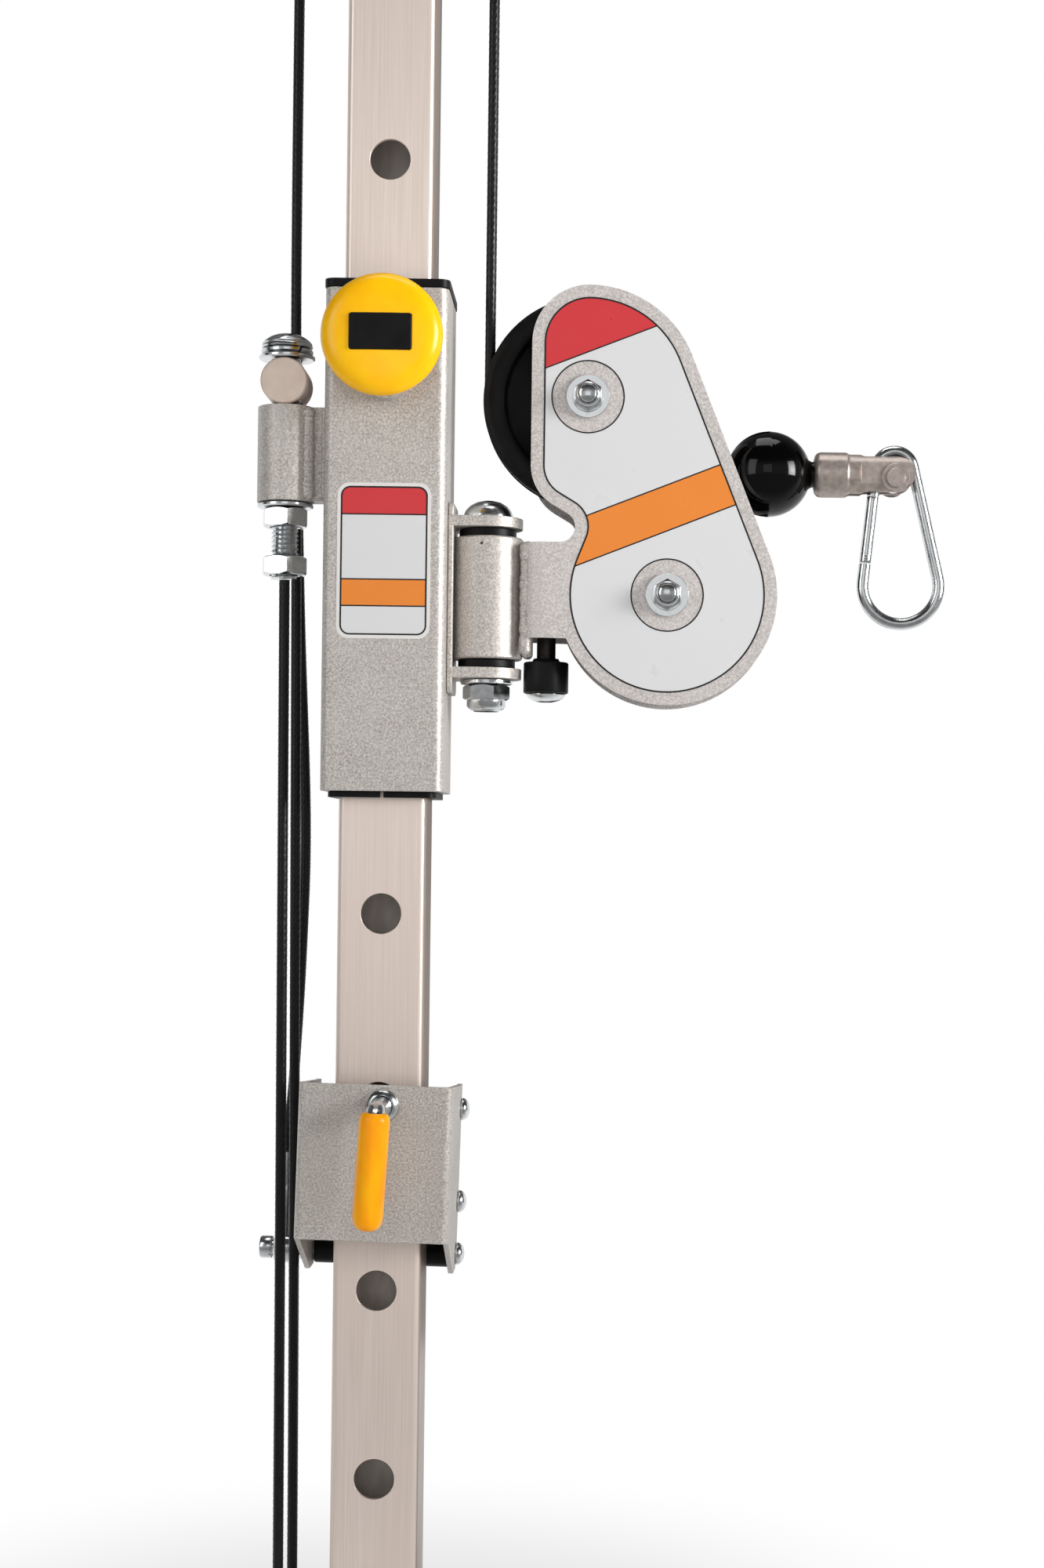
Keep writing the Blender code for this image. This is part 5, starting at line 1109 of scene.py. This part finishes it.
collar = [(8.3, 546.0), (11.2, 546.0), (11.2, 542.4), (10.2, 540.9), (9.0, 540.3), (8.3, 540.5)]
nut, spun = [nut_rings(24.0, 8.8, 8.3, 550.2), turned(collar)], turn_deg(21, "Z")
turned_piece("pivot_lock_nut", nut, SWIVEL, "upper_carriage", "pivot_nut", extra=spun)

# %% [markdown]
# ## The pulley housing
# Two plates hold the pulleys, each cut from 3 mm sheet with a long smooth outline of
# arcs. Their arms are folded in to meet the barrel, and a short web closes the joint.
# The outline is written as arcs once, and the printed panel later uses it too, a
# little smaller.


# %% The housing's outline
def prism(name, loop, low, high, axis):
    """A solid with one outline between two levels. The outline is in XZ for axis Y, in XY for Z."""
    shape = bmesh.new()
    order = (0, 2, 1) if axis == "Y" else (0, 1, 2)
    rings = [[tuple((x, z, level)[i] for i in order) for x, z in loop] for level in (low, high)]
    for ring in loft(shape, rings):
        shape.faces.new(ring)
    bmesh.ops.recalc_face_normals(shape, faces=shape.faces)
    return shaped(shape, name)


BORE_RADIUS = 0.0054
THROUGH = 0.03  # half of a cutter's length


def bore_tool(centre):
    """A round cutter for a hole through the plates or the fork."""
    return prism("bore", arc(centre, BORE_RADIUS, 0, 350, 35), -THROUGH, THROUGH, "Y")


top_centre, low_centre = flat(TOP_AXLE), flat(LOW_AXLE)
EDGE_DEG = math.degrees(math.atan2(LOW_AXLE.x - TOP_AXLE.x, TOP_AXLE.z - LOW_AXLE.z))
ARM_LOW, ARM_HIGH, ARM_START = 0.5809, 0.6356, 0.08987
BEND_Y, BEND_RADIUS, SHEET = -0.0078, 0.012, 0.003
PLATE_OUTSIDE, PLATE_INSIDE = 0.0213, 0.0183


def housing_outline(inset=0.0, arm=True):
    """The plate's outline in XZ. Without its arm it is the panel's."""
    bridge = [*arc((0.0990, 0.6443), 0.0087 + inset, 59.3, -90 if arm else -21.6, 16)]
    if arm:
        bridge += [(ARM_START, ARM_HIGH), (ARM_START, ARM_LOW)]
    return [
        *arc(top_centre, 0.064 - inset, EDGE_DEG, 88, 30),
        *arc((0.1150, 0.7495), 0.033 - inset, 92, 180, 20),
        *arc((0.1078, 0.6792), 0.0258 - inset, 180, 239.3, 14),
        *bridge,
        *arc(low_centre, 0.0628 - inset, 203.7 if arm else 158.4, 360 + EDGE_DEG, 60),
    ]


print("outline points:", len(housing_outline()))


# %% The housing plates
def bend_strip(sign):
    """The arm's folded end in XY."""
    outside, inside = BEND_RADIUS + SHEET / 2, BEND_RADIUS - SHEET / 2
    centre = (ARM_START, sign * BEND_Y)
    ends = [(ARM_START + 0.002, sign * (BEND_Y - depth)) for depth in (outside, inside)]
    turn = (180, 180 + sign * 90)
    return [*arc(centre, outside, *turn, 16), *ends, *arc(centre, inside, *turn[::-1], 14)]


for name, sign in (("housing_front", 1), ("housing_back", -1)):
    levels = sorted((-sign * PLATE_INSIDE, -sign * PLATE_OUTSIDE))
    plate = prism(name, housing_outline(), *levels, "Y")
    strip = prism("strip", bend_strip(sign), ARM_LOW, ARM_HIGH, "Z")
    bores = [bore_tool(centre) for centre in (top_centre, low_centre)]
    plate = baked(name, plate, 0.7, segments=3, angle=30, joins=[strip], cutters=bores)
    piece(name, plate, "swivel", f"{name}_plate", look=pale_silver)

WEB_HALF = 0.0066
web = rounded(0.0772, 0.0836, 0.5702, 0.6375, 0.0028)
web = prism("arm_web", web, -WEB_HALF, WEB_HALF, "Y")
piece("arm_web", baked("arm_web", web, 1.2, segments=3), "swivel", look=silver)

# %% [markdown]
# ## The index plunger
# Under the housing's arm hangs a small plunger with a black grip. Its steel stem ends
# in a low pale dome under the grip.

# %% The index plunger
PLUNGER = Vector((0.0915, 0.0, 0.0))
STEM_FOOT = 0.5497  # the dome is below this height
stem = [(0.0, 545.0), (4.0, 545.2), (7.6, 546.1), (10.2, 547.8), (11.3, 549.3), (11.2, 549.7)]
stem += [(5.45, 549.7), (5.45, 602.6), (4.5, 603.6), (0.0, 603.6)]
on = ("index_plunger", "index_plunger")
stem = turned_piece("plunger_stem", [turned(stem)], PLUNGER, *on, look=blackened).data
stem.materials.append(zinc)
for face in stem.polygons:
    face.material_index = int(face.center.z < STEM_FOOT)
grip = [(5.8, 550.2), (12.1, 550.1), (12.8, 550.5), (13.0, 551.2), (13.0, 567.0), (12.8, 567.7)]
grip += [(12.2, 568.1), (8.6, 568.1), (8.0, 568.7), (7.2, 570.2), (5.8, 570.3)]
on = ("index_plunger", "index_plunger_knob")
turned_piece("plunger_grip", [turned(grip)], PLUNGER, *on, look=nylon)

# %% [markdown]
# ## The pull knob
# The yellow knob draws the pin out of the column. It is a thick moulded button with a
# nearly flat face, a wide soft edge, and a shallow pocket for a plain black plate.

# %% The pull knob
PIN = Vector((0.0, 0.0, 0.7442))
knob = [(0.0, 71.95), (12.0, 71.8), (20.0, 71.35), (25.0, 70.7), (28.6, 69.7), (31.2, 68.2)]
knob += [(33.0, 66.2), (33.9, 63.9), (34.0, 62.4), (33.7, 60.9), (32.9, 59.8), (31.6, 59.3)]
knob += [(13.0, 59.3), (9.9, 59.6), (9.9, 65.6), (0.0, 65.6)]
knob = turned_mesh("knob_button", [turned(knob[::-1], 128)], PIN, "-Y")
pocket = slab("pocket", 34.9, 20.5, 1.6, -80.0, -69.0, PIN)
knob = baked("knob_button", knob, 0.3, cutters=[pocket])
piece("knob_button", knob, "pull_pin", "pull_knob", look=abs_yellow)
plate = baked("knob_plate", slab("knob_plate", 34.5, 20.1, 1.5, -72.6, -69.2, PIN), 0.4)
piece("knob_plate", plate, "pull_pin", "knob_inlay", look=nylon)
nose = [(0.0, 25.3), (7.6, 25.3), (9.5, 27.6), (9.5, 64.9), (9.1, 65.3), (0.0, 65.3)]
turned_piece("pin_shaft", [turned(nose)], PIN, "pull_pin", "pull_pin", axis="-Y", look=steel)

# %% [markdown]
# ## The ball stop and the snap hook
# The ball keeps the cable's end out of the housing. Its mould leaves a fine seam round
# it. The hook is bent from one rod, and its gate is pressed from a strip, so the gate
# has a slot along its inner side and turns on a small rivet.

# %% The ball stop
BALL_MM, SEAM_MM, SEAM_WIDTH = 24.5, 0.22, 0.03  # the seam's width is in radians
ball = []
for a in (math.pi * i / 60 for i in range(61)):
    proud = BALL_MM + SEAM_MM * math.exp(-(((a - math.pi / 2) / SEAM_WIDTH) ** 2))
    ball.append((proud * math.sin(a), -proud * math.cos(a)))
ball = [point for point in ball if not (point[1] > 0 and point[0] < 8.6)]
ball += [(7.9, 24.0), (7.5, 24.6), (7.5, 25.9), (0.0, 25.9)]
ball[0] = (0.0, ball[0][1])
ball = turned_mesh("ball_moulding", [turned(ball, 96)], BALL, "X")
mouth = [(0.0, 3.0), (3.45, 3.0), (3.45, -0.6), (4.6, -1.9), (7.0, -9.0), (0.0, -9.0)]
cable_turn = Matrix.Rotation(math.pi / 2 - rise, 4, "Y")
mouth = turned_mesh("mouth", [turned(mouth)], BALL - line * BALL_RADIUS, extra=cable_turn)
ball = baked("ball_moulding", ball, 0, cutters=[mouth])
piece("ball_moulding", ball, "cable_end", "ball_stop", look=phenolic)


# %% The clevis
# Its round shank steps down to a fork with a half-round end.
def by_ball(x_mm, z_mm):
    """A point in XZ, in mm from the ball's middle."""
    return (BALL.x + x_mm * MM, BALL.z + z_mm * MM)


shank = [(0.0, 26.2), (9.0, 26.2), (10.9, 26.7), (12.3, 27.9), (13.0, 29.8), (13.0, 44.8)]
shank += [(12.5, 45.6), (12.1, 46.6), (12.1, 84.5), (0.0, 84.5)]
clevis = turned_mesh("clevis_fork", [turned(shank, 96)], BALL, "X")
FORK_HALF, FORK_NECK, FAR = 0.0101, 0.0045, 0.32
SLOT_HALF, FLAT_Y, WIDE = 0.0042, 0.0105, 0.02
side = [by_ball(20.0, 15.0), by_ball(51.5, 15.0)]
side += arc(by_ball(56.0, 14.6), FORK_NECK, 180, 270, 6)
side += arc(by_ball(73.8, 0.0), FORK_HALF, 90, -90, 30)
side += arc(by_ball(56.0, -14.6), FORK_NECK, 90, 180, 6)
side += [by_ball(51.5, -15.0), by_ball(20.0, -15.0)]
side = prism("side", side, -WIDE, WIDE, "Y")
slot_x, flat_x, step_x = (BALL.x + x * MM for x in (44.5, 53.0, 48.0))
loops = [[(slot_x, -SLOT_HALF), (FAR, -SLOT_HALF), (FAR, SLOT_HALF), (slot_x, SLOT_HALF)]]
loops += [[(flat_x, y), (FAR, y), (FAR, 2 * y), (step_x, 2 * y)] for y in (-FLAT_Y, FLAT_Y)]
cuts = [prism("cut", loop, BALL.z - THROUGH, BALL.z + THROUGH, "Z") for loop in loops]
cuts.append(bore_tool(by_ball(72.4, -2.7)))
clevis = baked("clevis_fork", clevis, 0.5, segments=3, angle=30, keeps=[side], cutters=cuts)
piece("clevis_fork", clevis, "cable_end", "clevis", look=cast_nickel)

# %% The hook's rod
ROD_RADIUS = 0.0035
HOOK = Vector((0.2913, 0.0, 0.676))
TOP_BEND, TOP_RADIUS = Vector((0.0006, 0.0060)), 0.0107
LOW_BEND, LOW_RADIUS = Vector((0.0048, -0.0611)), 0.0220
GATE_TOP, GATE_LOW = -0.0092, -0.0487
span = LOW_BEND - TOP_BEND
opening = math.acos((TOP_RADIUS - LOW_RADIUS) / span.length)
heading = math.atan2(span.y, span.x)
left_deg, right_deg = math.degrees(heading - opening), math.degrees(heading + opening)
leg_top = Vector(arc(TOP_BEND, TOP_RADIUS, left_deg, left_deg, 1)[0])
leg_low = Vector(arc(LOW_BEND, LOW_RADIUS, left_deg, left_deg, 1)[0])


def on_leg(height):
    """A point of the left leg's middle line at a height."""
    return leg_top.lerp(leg_low, (height - leg_top.y) / (leg_low.y - leg_top.y))


def by_hook(points):
    """Points of the hook's own XZ plane, in their place."""
    return [HOOK + Vector((x, 0.0, z)) for x, z in points]


def rod_mesh(name, route, radius, look):
    """A smooth round rod along a route."""
    values = {"Radius": radius, "Groove": 0.0, "Lay": 1.0, "Strands": 1, "Finish": look}
    mesh = grown(name, route_mesh(name, route), rope, **values)
    mesh.set_sharp_from_angle(angle=math.radians(50))
    return mesh


tip, joint = on_leg(GATE_TOP), on_leg(GATE_LOW)
hook_line = [tip, leg_top, *arc(TOP_BEND, TOP_RADIUS, left_deg + 360, right_deg, 30)[1:]]
hook_line += [*arc(LOW_BEND, LOW_RADIUS, right_deg, left_deg, 48), joint]
hook = rod_mesh("hook_rod", by_hook(hook_line), ROD_RADIUS, zinc)
eyelet = [(5.3, -3.0), (6.9, -3.0), (7.2, -2.6), (7.2, 2.6), (6.9, 3.0), (5.3, 3.0)]
eyelet = turned_mesh("eyelet", [turned(eyelet)], HOOK, "-Y")
piece("hook_rod", joined("hook_rod", hook, eyelet), "carabiner", "carabiner_body", look=zinc)

# %% The gate
TOP_GAP, LOW_GAP, GATE_RADIUS = 0.0006, 0.0009, ROD_RADIUS - 0.0001
way = (joint - tip).normalized()
gate_top, gate_low = by_hook([tip + way * TOP_GAP, joint - way * LOW_GAP])
gate = rod_mesh("gate_rod", straight(gate_top, gate_low, 18), GATE_RADIUS, zinc)
down, across = Vector((way.x, 0.0, way.y)), Vector((-way.y, 0.0, way.x))
if across.x < 0:
    across = -across
middle = gate_top.lerp(gate_low, 0.5)
length_mm = (gate_low - gate_top).length / MM
slot = slab("slot", 4.2, length_mm - 9.0, 0.4, -1.1, 1.1, middle + across * 0.0030)
slot_turn = turn_deg(-35, down) @ Matrix.Rotation(-math.atan2(way.x, -way.y), 4, "Y")
slot.transform(Matrix.Translation(middle) @ slot_turn @ Matrix.Translation(-middle))
gate = baked("gate_rod", gate, 0.15, cutters=[slot])
rivet = [(0.0, -3.55), (1.0, -3.55), (1.4, -3.2), (1.4, 3.2), (1.0, 3.55), (0.0, 3.55)]
rivet = turned_mesh("rivet", [turned(rivet, 24)], gate_low - down * 0.0028, "-Y")
piece("gate_rod", joined("gate_rod", gate, rivet), "gate", "carabiner_gate", look=zinc)
print("gate length:", round(length_mm, 1), "mm")

# %% The fork's rivet
pin = [(0.0, -11.8), (8.0, -11.8), (8.3, -11.4), (8.3, -10.8), (5.0, -10.8), (5.0, 10.8)]
pin += [(8.3, 10.8), (8.3, 11.4), (7.9, 11.8), (5.9, 11.8), (5.7, 12.6), (5.1, 13.1), (0.0, 13.2)]
on = ("cable_end", "clevis_pin")
turned_piece("fork_rivet", [turned(pin)], HOOK, *on, axis="-Y", look=cast_nickel)

# %% [markdown]
# ## The lower carriage
# Three bolts cross the folded plate behind the column, two of them with a nylon roller.
# The lowest also carries the swaged eye of the bowed cable. The latch is a bent rod
# with a dipped yellow grip.

# %% Bolts, rollers and the swaged eye
TILT = LEAN.to_3x3().to_4x4()
ROLLER_Y, CHEEK_MM = 0.0336, 43.5
CROSS = {  # name: (height in m, its bolt node, the bolt's left end in mm, its roller)
    "upper": (-0.0081, "upper_roller_bolt", -50.0, "upper_roller"),
    "stay": (-0.0627, "stay_bolt", -50.0, None),
    "lower": (-0.0937, "lower_roller_bolt", -72.2, "lower_roller"),
}
HEAD = [(0.0, 48.7), (2.2, 48.5), (4.4, 47.7), (5.8, 46.5), (6.4, 45.2), (6.5, 44.3), (6.2, 43.8)]
END = [(4.1, -65.0), (6.4, -65.0), (6.6, -65.6), (6.6, -70.9), (6.0, -71.9), (4.1, -72.0)]
laid = {"axis": "X", "extra": TILT}
washer = turned(ring_profile(6.5, 4.2, -CHEEK_MM - 1.5, -CHEEK_MM - 0.3, 0.2), 48)
nut = nut_rings(11.0, 4.0, 4.1, -CHEEK_MM - 3.6)
roller_tube = [turned(ring_profile(8.0, 4.2, -39.6, 39.6, 0.7))]
for name, (height, node, left_mm, roller) in CROSS.items():
    place = LEAN @ Vector((0.0, ROLLER_Y, height))
    shank = [(4.0, 43.8), (4.0, left_mm + 0.6), (3.4, left_mm), (0.0, left_mm)]
    parts = [turned((HEAD + shank)[::-1], 48), washer, nut]
    if name == "lower":
        parts += [turned(END[::-1], 48)]
    turned_piece(f"{name}_cross_bolt", parts, place, "lower_carriage", node, **laid)
    if roller:
        turned_piece(f"{name}_roller_tube", roller_tube, place, roller, roller, look=nylon, **laid)

eye = turned_mesh("eye", [turned(ring_profile(8.8, 4.4, -6.0, 6.0, 0.9))], LEAN @ EYE_PLACE, **laid)
ferrule = [(0.0, 57.5), (5.2, 57.5), (6.1, 57.0), (6.2, 56.2), (6.2, 38.2), (5.6, 36.6)]
ferrule += [(4.0, 33.7), (4.0, 7.5), (0.0, 7.5)]
ferrule = turned_mesh("ferrule", [turned(ferrule[::-1])], LEAN @ EYE_PLACE, extra=TILT)
piece("swaged_eye", joined("swaged_eye", eye, ferrule), "lower_carriage", "cable_eye", look=zinc)

# %% The latch
LATCH_X, REACH, BEND, LATCH_RADIUS = 0.004, 0.090, 0.009, 0.0058
LATCH_LEAN_DEG, GRIP_LEAN_DEG = 2.0, 3.4
latch_yz = [(-0.0262, 0.0), (-0.050, 0.0), (-0.070, 0.0)]
latch_yz += arc((-REACH + BEND, -BEND), BEND, 90, 180, 10)
latch_yz.append((-REACH, -0.056))
lean_x = math.tan(math.radians(LATCH_LEAN_DEG))
latch_route = [LEAN @ Vector((LATCH_X + min(z, 0.0) * lean_x, y, z)) for y, z in latch_yz]
rod = rod_mesh("latch_bar", latch_route, LATCH_RADIUS, steel)
piece("latch_bar", rod, "latch", "latch_rod", look=zinc)
collar = [(6.2, 45.1), (9.6, 45.1), (9.9, 45.5), (9.4, 47.0), (8.2, 48.6), (6.6, 49.4), (6.1, 49.0)]
place = LEAN @ Vector((LATCH_X, 0.0, 0.0))
turned_piece("latch_collar", [turned(collar)], place, "lower_carriage", axis="-Y", extra=TILT)
low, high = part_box("latch_grip")
print("grip:", [[round(v / MM, 1) for v in corner] for corner in (low, high)])
TOP_MM, FOOT_MM = 315.2, 251.0
middle = Vector(((low.x + high.x) / 2, (low.y + high.y) / 2, (TOP_MM + FOOT_MM) / 2 * MM))
grip = [(5.0, 0.3), (5.8, 0.5), (7.2, -0.3), (8.2, -1.9), (8.5, -4.0)]  # down from its top
foot = [(8.5, 8.8), (8.2, 6.0), (7.3, 3.3), (5.8, 1.5), (3.4, 0.35), (0.0, 0.0)]  # up from its foot
grip = [(r, TOP_MM + z) for r, z in grip] + [(r, FOOT_MM + z) for r, z in foot]
shape = bmesh.new()
loft(shape, turned([(r, z - middle.z / MM) for r, z in grip], 80))
grip_mesh = shaped(shape, "grip_vinyl", middle, SHARP_DEG, turn_deg(GRIP_LEAN_DEG, "Y"))
piece("grip_vinyl", grip_mesh, "latch", "latch_grip", look=vinyl)

# %% [markdown]
# ## Weld beads
# The anchor barrel is welded to the sleeve with three beads, and the housing's arms to
# the swivel barrel with two. A weld is a row of overlapping ripples along the joint.
# Geometry Nodes put a flattened drop at every step along a line, each a little
# different in size, and make them one mesh.

# %% Weld beads as Geometry Nodes
DROP = (0.5, 0.5, 0.42)  # a drop's half sizes, as shares of the bead's width
LEAST, MOST = 0.86, 1.10  # how much a drop's size varies
bead, given = new_tree("weld_bead", Width="Float", Spacing="Float", Seed="Int", Finish="Material")
even = even_line(bead, given["Geometry"], given["Spacing"])
spots = add(bead, "GeometryNodeCurveToPoints", {"Curve": even}, mode="EVALUATED")
drop = add(bead, "GeometryNodeMeshUVSphere", {"Segments": 14, "Rings": 9, "Radius": 1.0})["Mesh"]
vary = {2: LEAST, 3: MOST, "Seed": given["Seed"]}
vary = add(bead, "FunctionNodeRandomValue", vary, data_type="FLOAT")[1]
width = maths(bead, "MULTIPLY", vary, given["Width"])
size = vectors(bead, "SCALE", {0: DROP, "Scale": width})
placed = {"Points": spots["Points"], "Instance": drop}
placed = {**placed, "Rotation": spots["Rotation"], "Scale": size}
placed = add(bead, "GeometryNodeInstanceOnPoints", placed)[0]
end_tree(bead, placed, given["Finish"])

WELD_STEP = 0.24  # of the bead's width
WELDS = {  # name: (body, x, y, low, high, width in mm)
    "anchor_weld_barrel": ("upper_carriage", -0.0455, -0.0185, 0.6610, 0.7080, 7.4),
    "anchor_weld_sleeve": ("upper_carriage", -0.0362, -0.0184, 0.6600, 0.7085, 3.4),
    "anchor_weld_back": ("upper_carriage", -0.0362, -0.0016, 0.6600, 0.7085, 3.4),
    "arm_weld_front": ("swivel", 0.0796, -0.0150, 0.5740, 0.6330, 6.6),
    "arm_weld_back": ("swivel", 0.0796, 0.0150, 0.5740, 0.6330, 6.6),
}
for number, (name, (body, x, y, low, high, width)) in enumerate(WELDS.items()):
    path = route_mesh(name, straight((x, y, low), (x, y, high), 12))
    values = {"Width": width * MM, "Spacing": WELD_STEP * width * MM, "Seed": number}
    mesh = grown(name, path, bead, Finish=silver, **values)
    mesh.shade_smooth()
    piece(name, mesh, body)

# %% [markdown]
# ## The plain panels
# Two vinyl panels are stuck on, one on the sleeve and one on the pulley housing. They
# carry only bands of colour with thin black lines between them. Each is a thin sheet
# cut to a rounded outline, and the bands are the outline clipped by straight lines, so
# that every colour is a face of its own and stays crisp at any distance.


# %% Printed vinyl
def vinyl_print(name, code, roughness=0.32):
    """A printed vinyl under a clear film: flat colour, soft gloss, the film's faint orange peel."""
    dust = ((18.0, 3.0), roughness - 0.05, roughness + 0.09)
    return varied(name, code, 0.0, roughness, rough=dust, relief=((3.0, 2.0), 0.02), IOR=1.5)


PRINT = {
    "edge": vinyl_print("grey_white_vinyl", "#D8D5D2"),
    "red": vinyl_print("red_printed_vinyl", "#C42F34"),
    "orange": vinyl_print("orange_printed_vinyl", "#DE7F28"),
    "grey": vinyl_print("light_grey_printed_vinyl", "#CFCFD0"),
    "black": vinyl_print("black_printed_vinyl", "#161416", 0.36),
}
print("prints:", ", ".join(PRINT))

# %% Cutting flat outlines
LAYER, SHEET_LAYER, LINE_LAYER = 0.00004, 3, 4
LINE, RIM_LINE = 0.0008, 0.00096
SLEEVE_FACE, HOUSING_FACE = -0.03502, -0.02132  # the painted faces under the sheets


def split_loop(loop, start, end):
    """The outline's parts above and below the line through two points, and where it crosses."""
    (x0, z0), (x1, z1) = start, end
    above, below, crossings = [], [], []
    sides = [(x1 - x0) * (z - z0) - (z1 - z0) * (x - x0) for x, z in loop]
    for i, (here, a) in enumerate(zip(loop, sides)):
        j = (i + 1) % len(loop)
        there, b = loop[j], sides[j]
        if a >= 0:
            above.append(here)
        if a <= 0:
            below.append(here)
        if a * b < 0:
            t = a / (a - b)
            crossings.append(tuple(h + (n - h) * t for h, n in zip(here, there)))
            above.append(crossings[-1])
            below.append(crossings[-1])
    return above, below, sorted(crossings)


square = [(0, 0), (1, 0), (1, 1), (0, 1)]
print("a line crosses a square at", split_loop(square, (0, 0.5), (1, 0.5))[2])


# %% A sheet of coloured faces
class Panel:
    """A sheet that is built up of flat coloured faces on a plane facing -Y."""

    def __init__(self, name, y):
        self.name, self.y, self.shape = name, y, bmesh.new()
        self.order = list(PRINT)

    def corners(self, loop, layer):
        """An outline's points on one of the sheet's layers."""
        return [self.shape.verts.new((x, self.y - layer * LAYER, z)) for x, z in loop]

    def paint(self, faces, look):
        """Gives faces their colour and turns them to face -Y."""
        for face in faces:
            face.normal_update()
            if face.normal.y > 0:
                face.normal_flip()
            face.material_index = self.order.index(look)

    def fill(self, look, *loops):
        """A face with an outer outline and holes."""
        edges = []
        for loop in loops:
            ring = self.corners(loop, SHEET_LAYER)
            edges += [self.shape.edges.new(pair) for pair in zip(ring, ring[1:] + ring[:1])]
        faces = bmesh.ops.triangle_fill(self.shape, edges=edges, use_beauty=True)["geom"]
        self.paint([f for f in faces if isinstance(f, bmesh.types.BMFace)], look)

    def stroke(self, loop, width, closed=True):
        """A black line of even width along an outline."""
        count = len(loop)
        sides = [], []
        for i, point in enumerate(loop):
            before = loop[(i - 1) % count] if closed or i else point
            after = loop[(i + 1) % count] if closed or i < count - 1 else point
            way = (Vector(after) - Vector(before)).normalized()
            side = Vector((-way.y, way.x)) * width / 2
            sides[0].append(Vector(point) + side)
            sides[1].append(Vector(point) - side)
        inner, outer = (self.corners(side, LINE_LAYER) for side in sides)
        steps = [(i, (i + 1) % count) for i in range(count if closed else count - 1)]
        faces = [self.shape.faces.new((inner[i], inner[j], outer[j], outer[i])) for i, j in steps]
        self.paint(faces, "black")

    def rim(self, loop, look):
        """The cut edge of the sheet, down to the plate."""
        top, foot = self.corners(loop, SHEET_LAYER), self.corners(loop, 0)
        for i in range(len(loop)):
            j = (i + 1) % len(loop)
            face = self.shape.faces.new((top[i], foot[i], foot[j], top[j]))
            face.material_index = self.order.index(look)

    def done(self, body):
        """The panel as a piece."""
        mesh = bpy.data.meshes.new(self.name)
        self.shape.to_mesh(mesh)
        self.shape.free()
        for look in self.order:
            mesh.materials.append(PRINT[look])
        return piece(self.name, mesh, body)


print("sheet thickness:", round(SHEET_LAYER * LAYER / MM, 2), "mm")

# %% The sleeve's panel
FIELD_HALF = 0.0241
BANDS = ((0.6482, "red"), (0.6115, "grey"), (0.5964, "orange"))  # each band's lower edge
sheet = Panel("sleeve_panel", SLEEVE_FACE)
outline = rounded(-0.0265, 0.0265, 0.5780, 0.6660, 0.0068)
field = rounded(-FIELD_HALF, FIELD_HALF, 0.5804, 0.6636, 0.0050)
sheet.fill("edge", outline, field)
sheet.rim(outline, "edge")
rest = field
for low, look in BANDS:
    band, rest, _ = split_loop(rest, (-1.0, low), (1.0, low))
    sheet.fill(look, band)
    sheet.stroke([(-FIELD_HALF, low), (FIELD_HALF, low)], LINE, closed=False)
sheet.fill("grey", rest)
sheet.stroke(field, RIM_LINE)
sheet.done("upper_carriage")

# %% The housing's panel
INSET, WINDOW = 0.0075, 0.0206
CUTS = [  # lines across the panel, from the top down
    ((0.0897, 0.7345), (0.1520, 0.7590)),
    ((0.1153, 0.6511), (0.1902, 0.6807)),
    ((0.1072, 0.6215), (0.1981, 0.6575)),
]
outline = housing_outline(INSET, arm=False)
top_window, low_window = (arc(centre, WINDOW, 0, 357, 68) for centre in (top_centre, low_centre))
sheet = Panel("housing_panel", HOUSING_FACE)
sheet.rim(outline, "black")
rest = outline
for cut, look, holes in zip(CUTS, ("red", "grey", "orange"), ((), (top_window,), ())):
    band, rest, _ = split_loop(rest, *cut)
    sheet.fill(look, band, *holes)
sheet.fill("grey", rest, low_window)
for cut in CUTS:
    sheet.stroke(split_loop(outline, *cut)[2], LINE, closed=False)
sheet.stroke(outline, RIM_LINE)
for window in (top_window, low_window):
    sheet.stroke(window, LINE)
sheet.done("swivel")

# %% [markdown]
# ## What stays as packed
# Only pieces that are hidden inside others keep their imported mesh, with a finish.

# %% The last finishes
for name, obj in nodes.items():
    if not obj.hide_render:
        obj.material_slots[0].material = zinc
        print("as packed:", name)
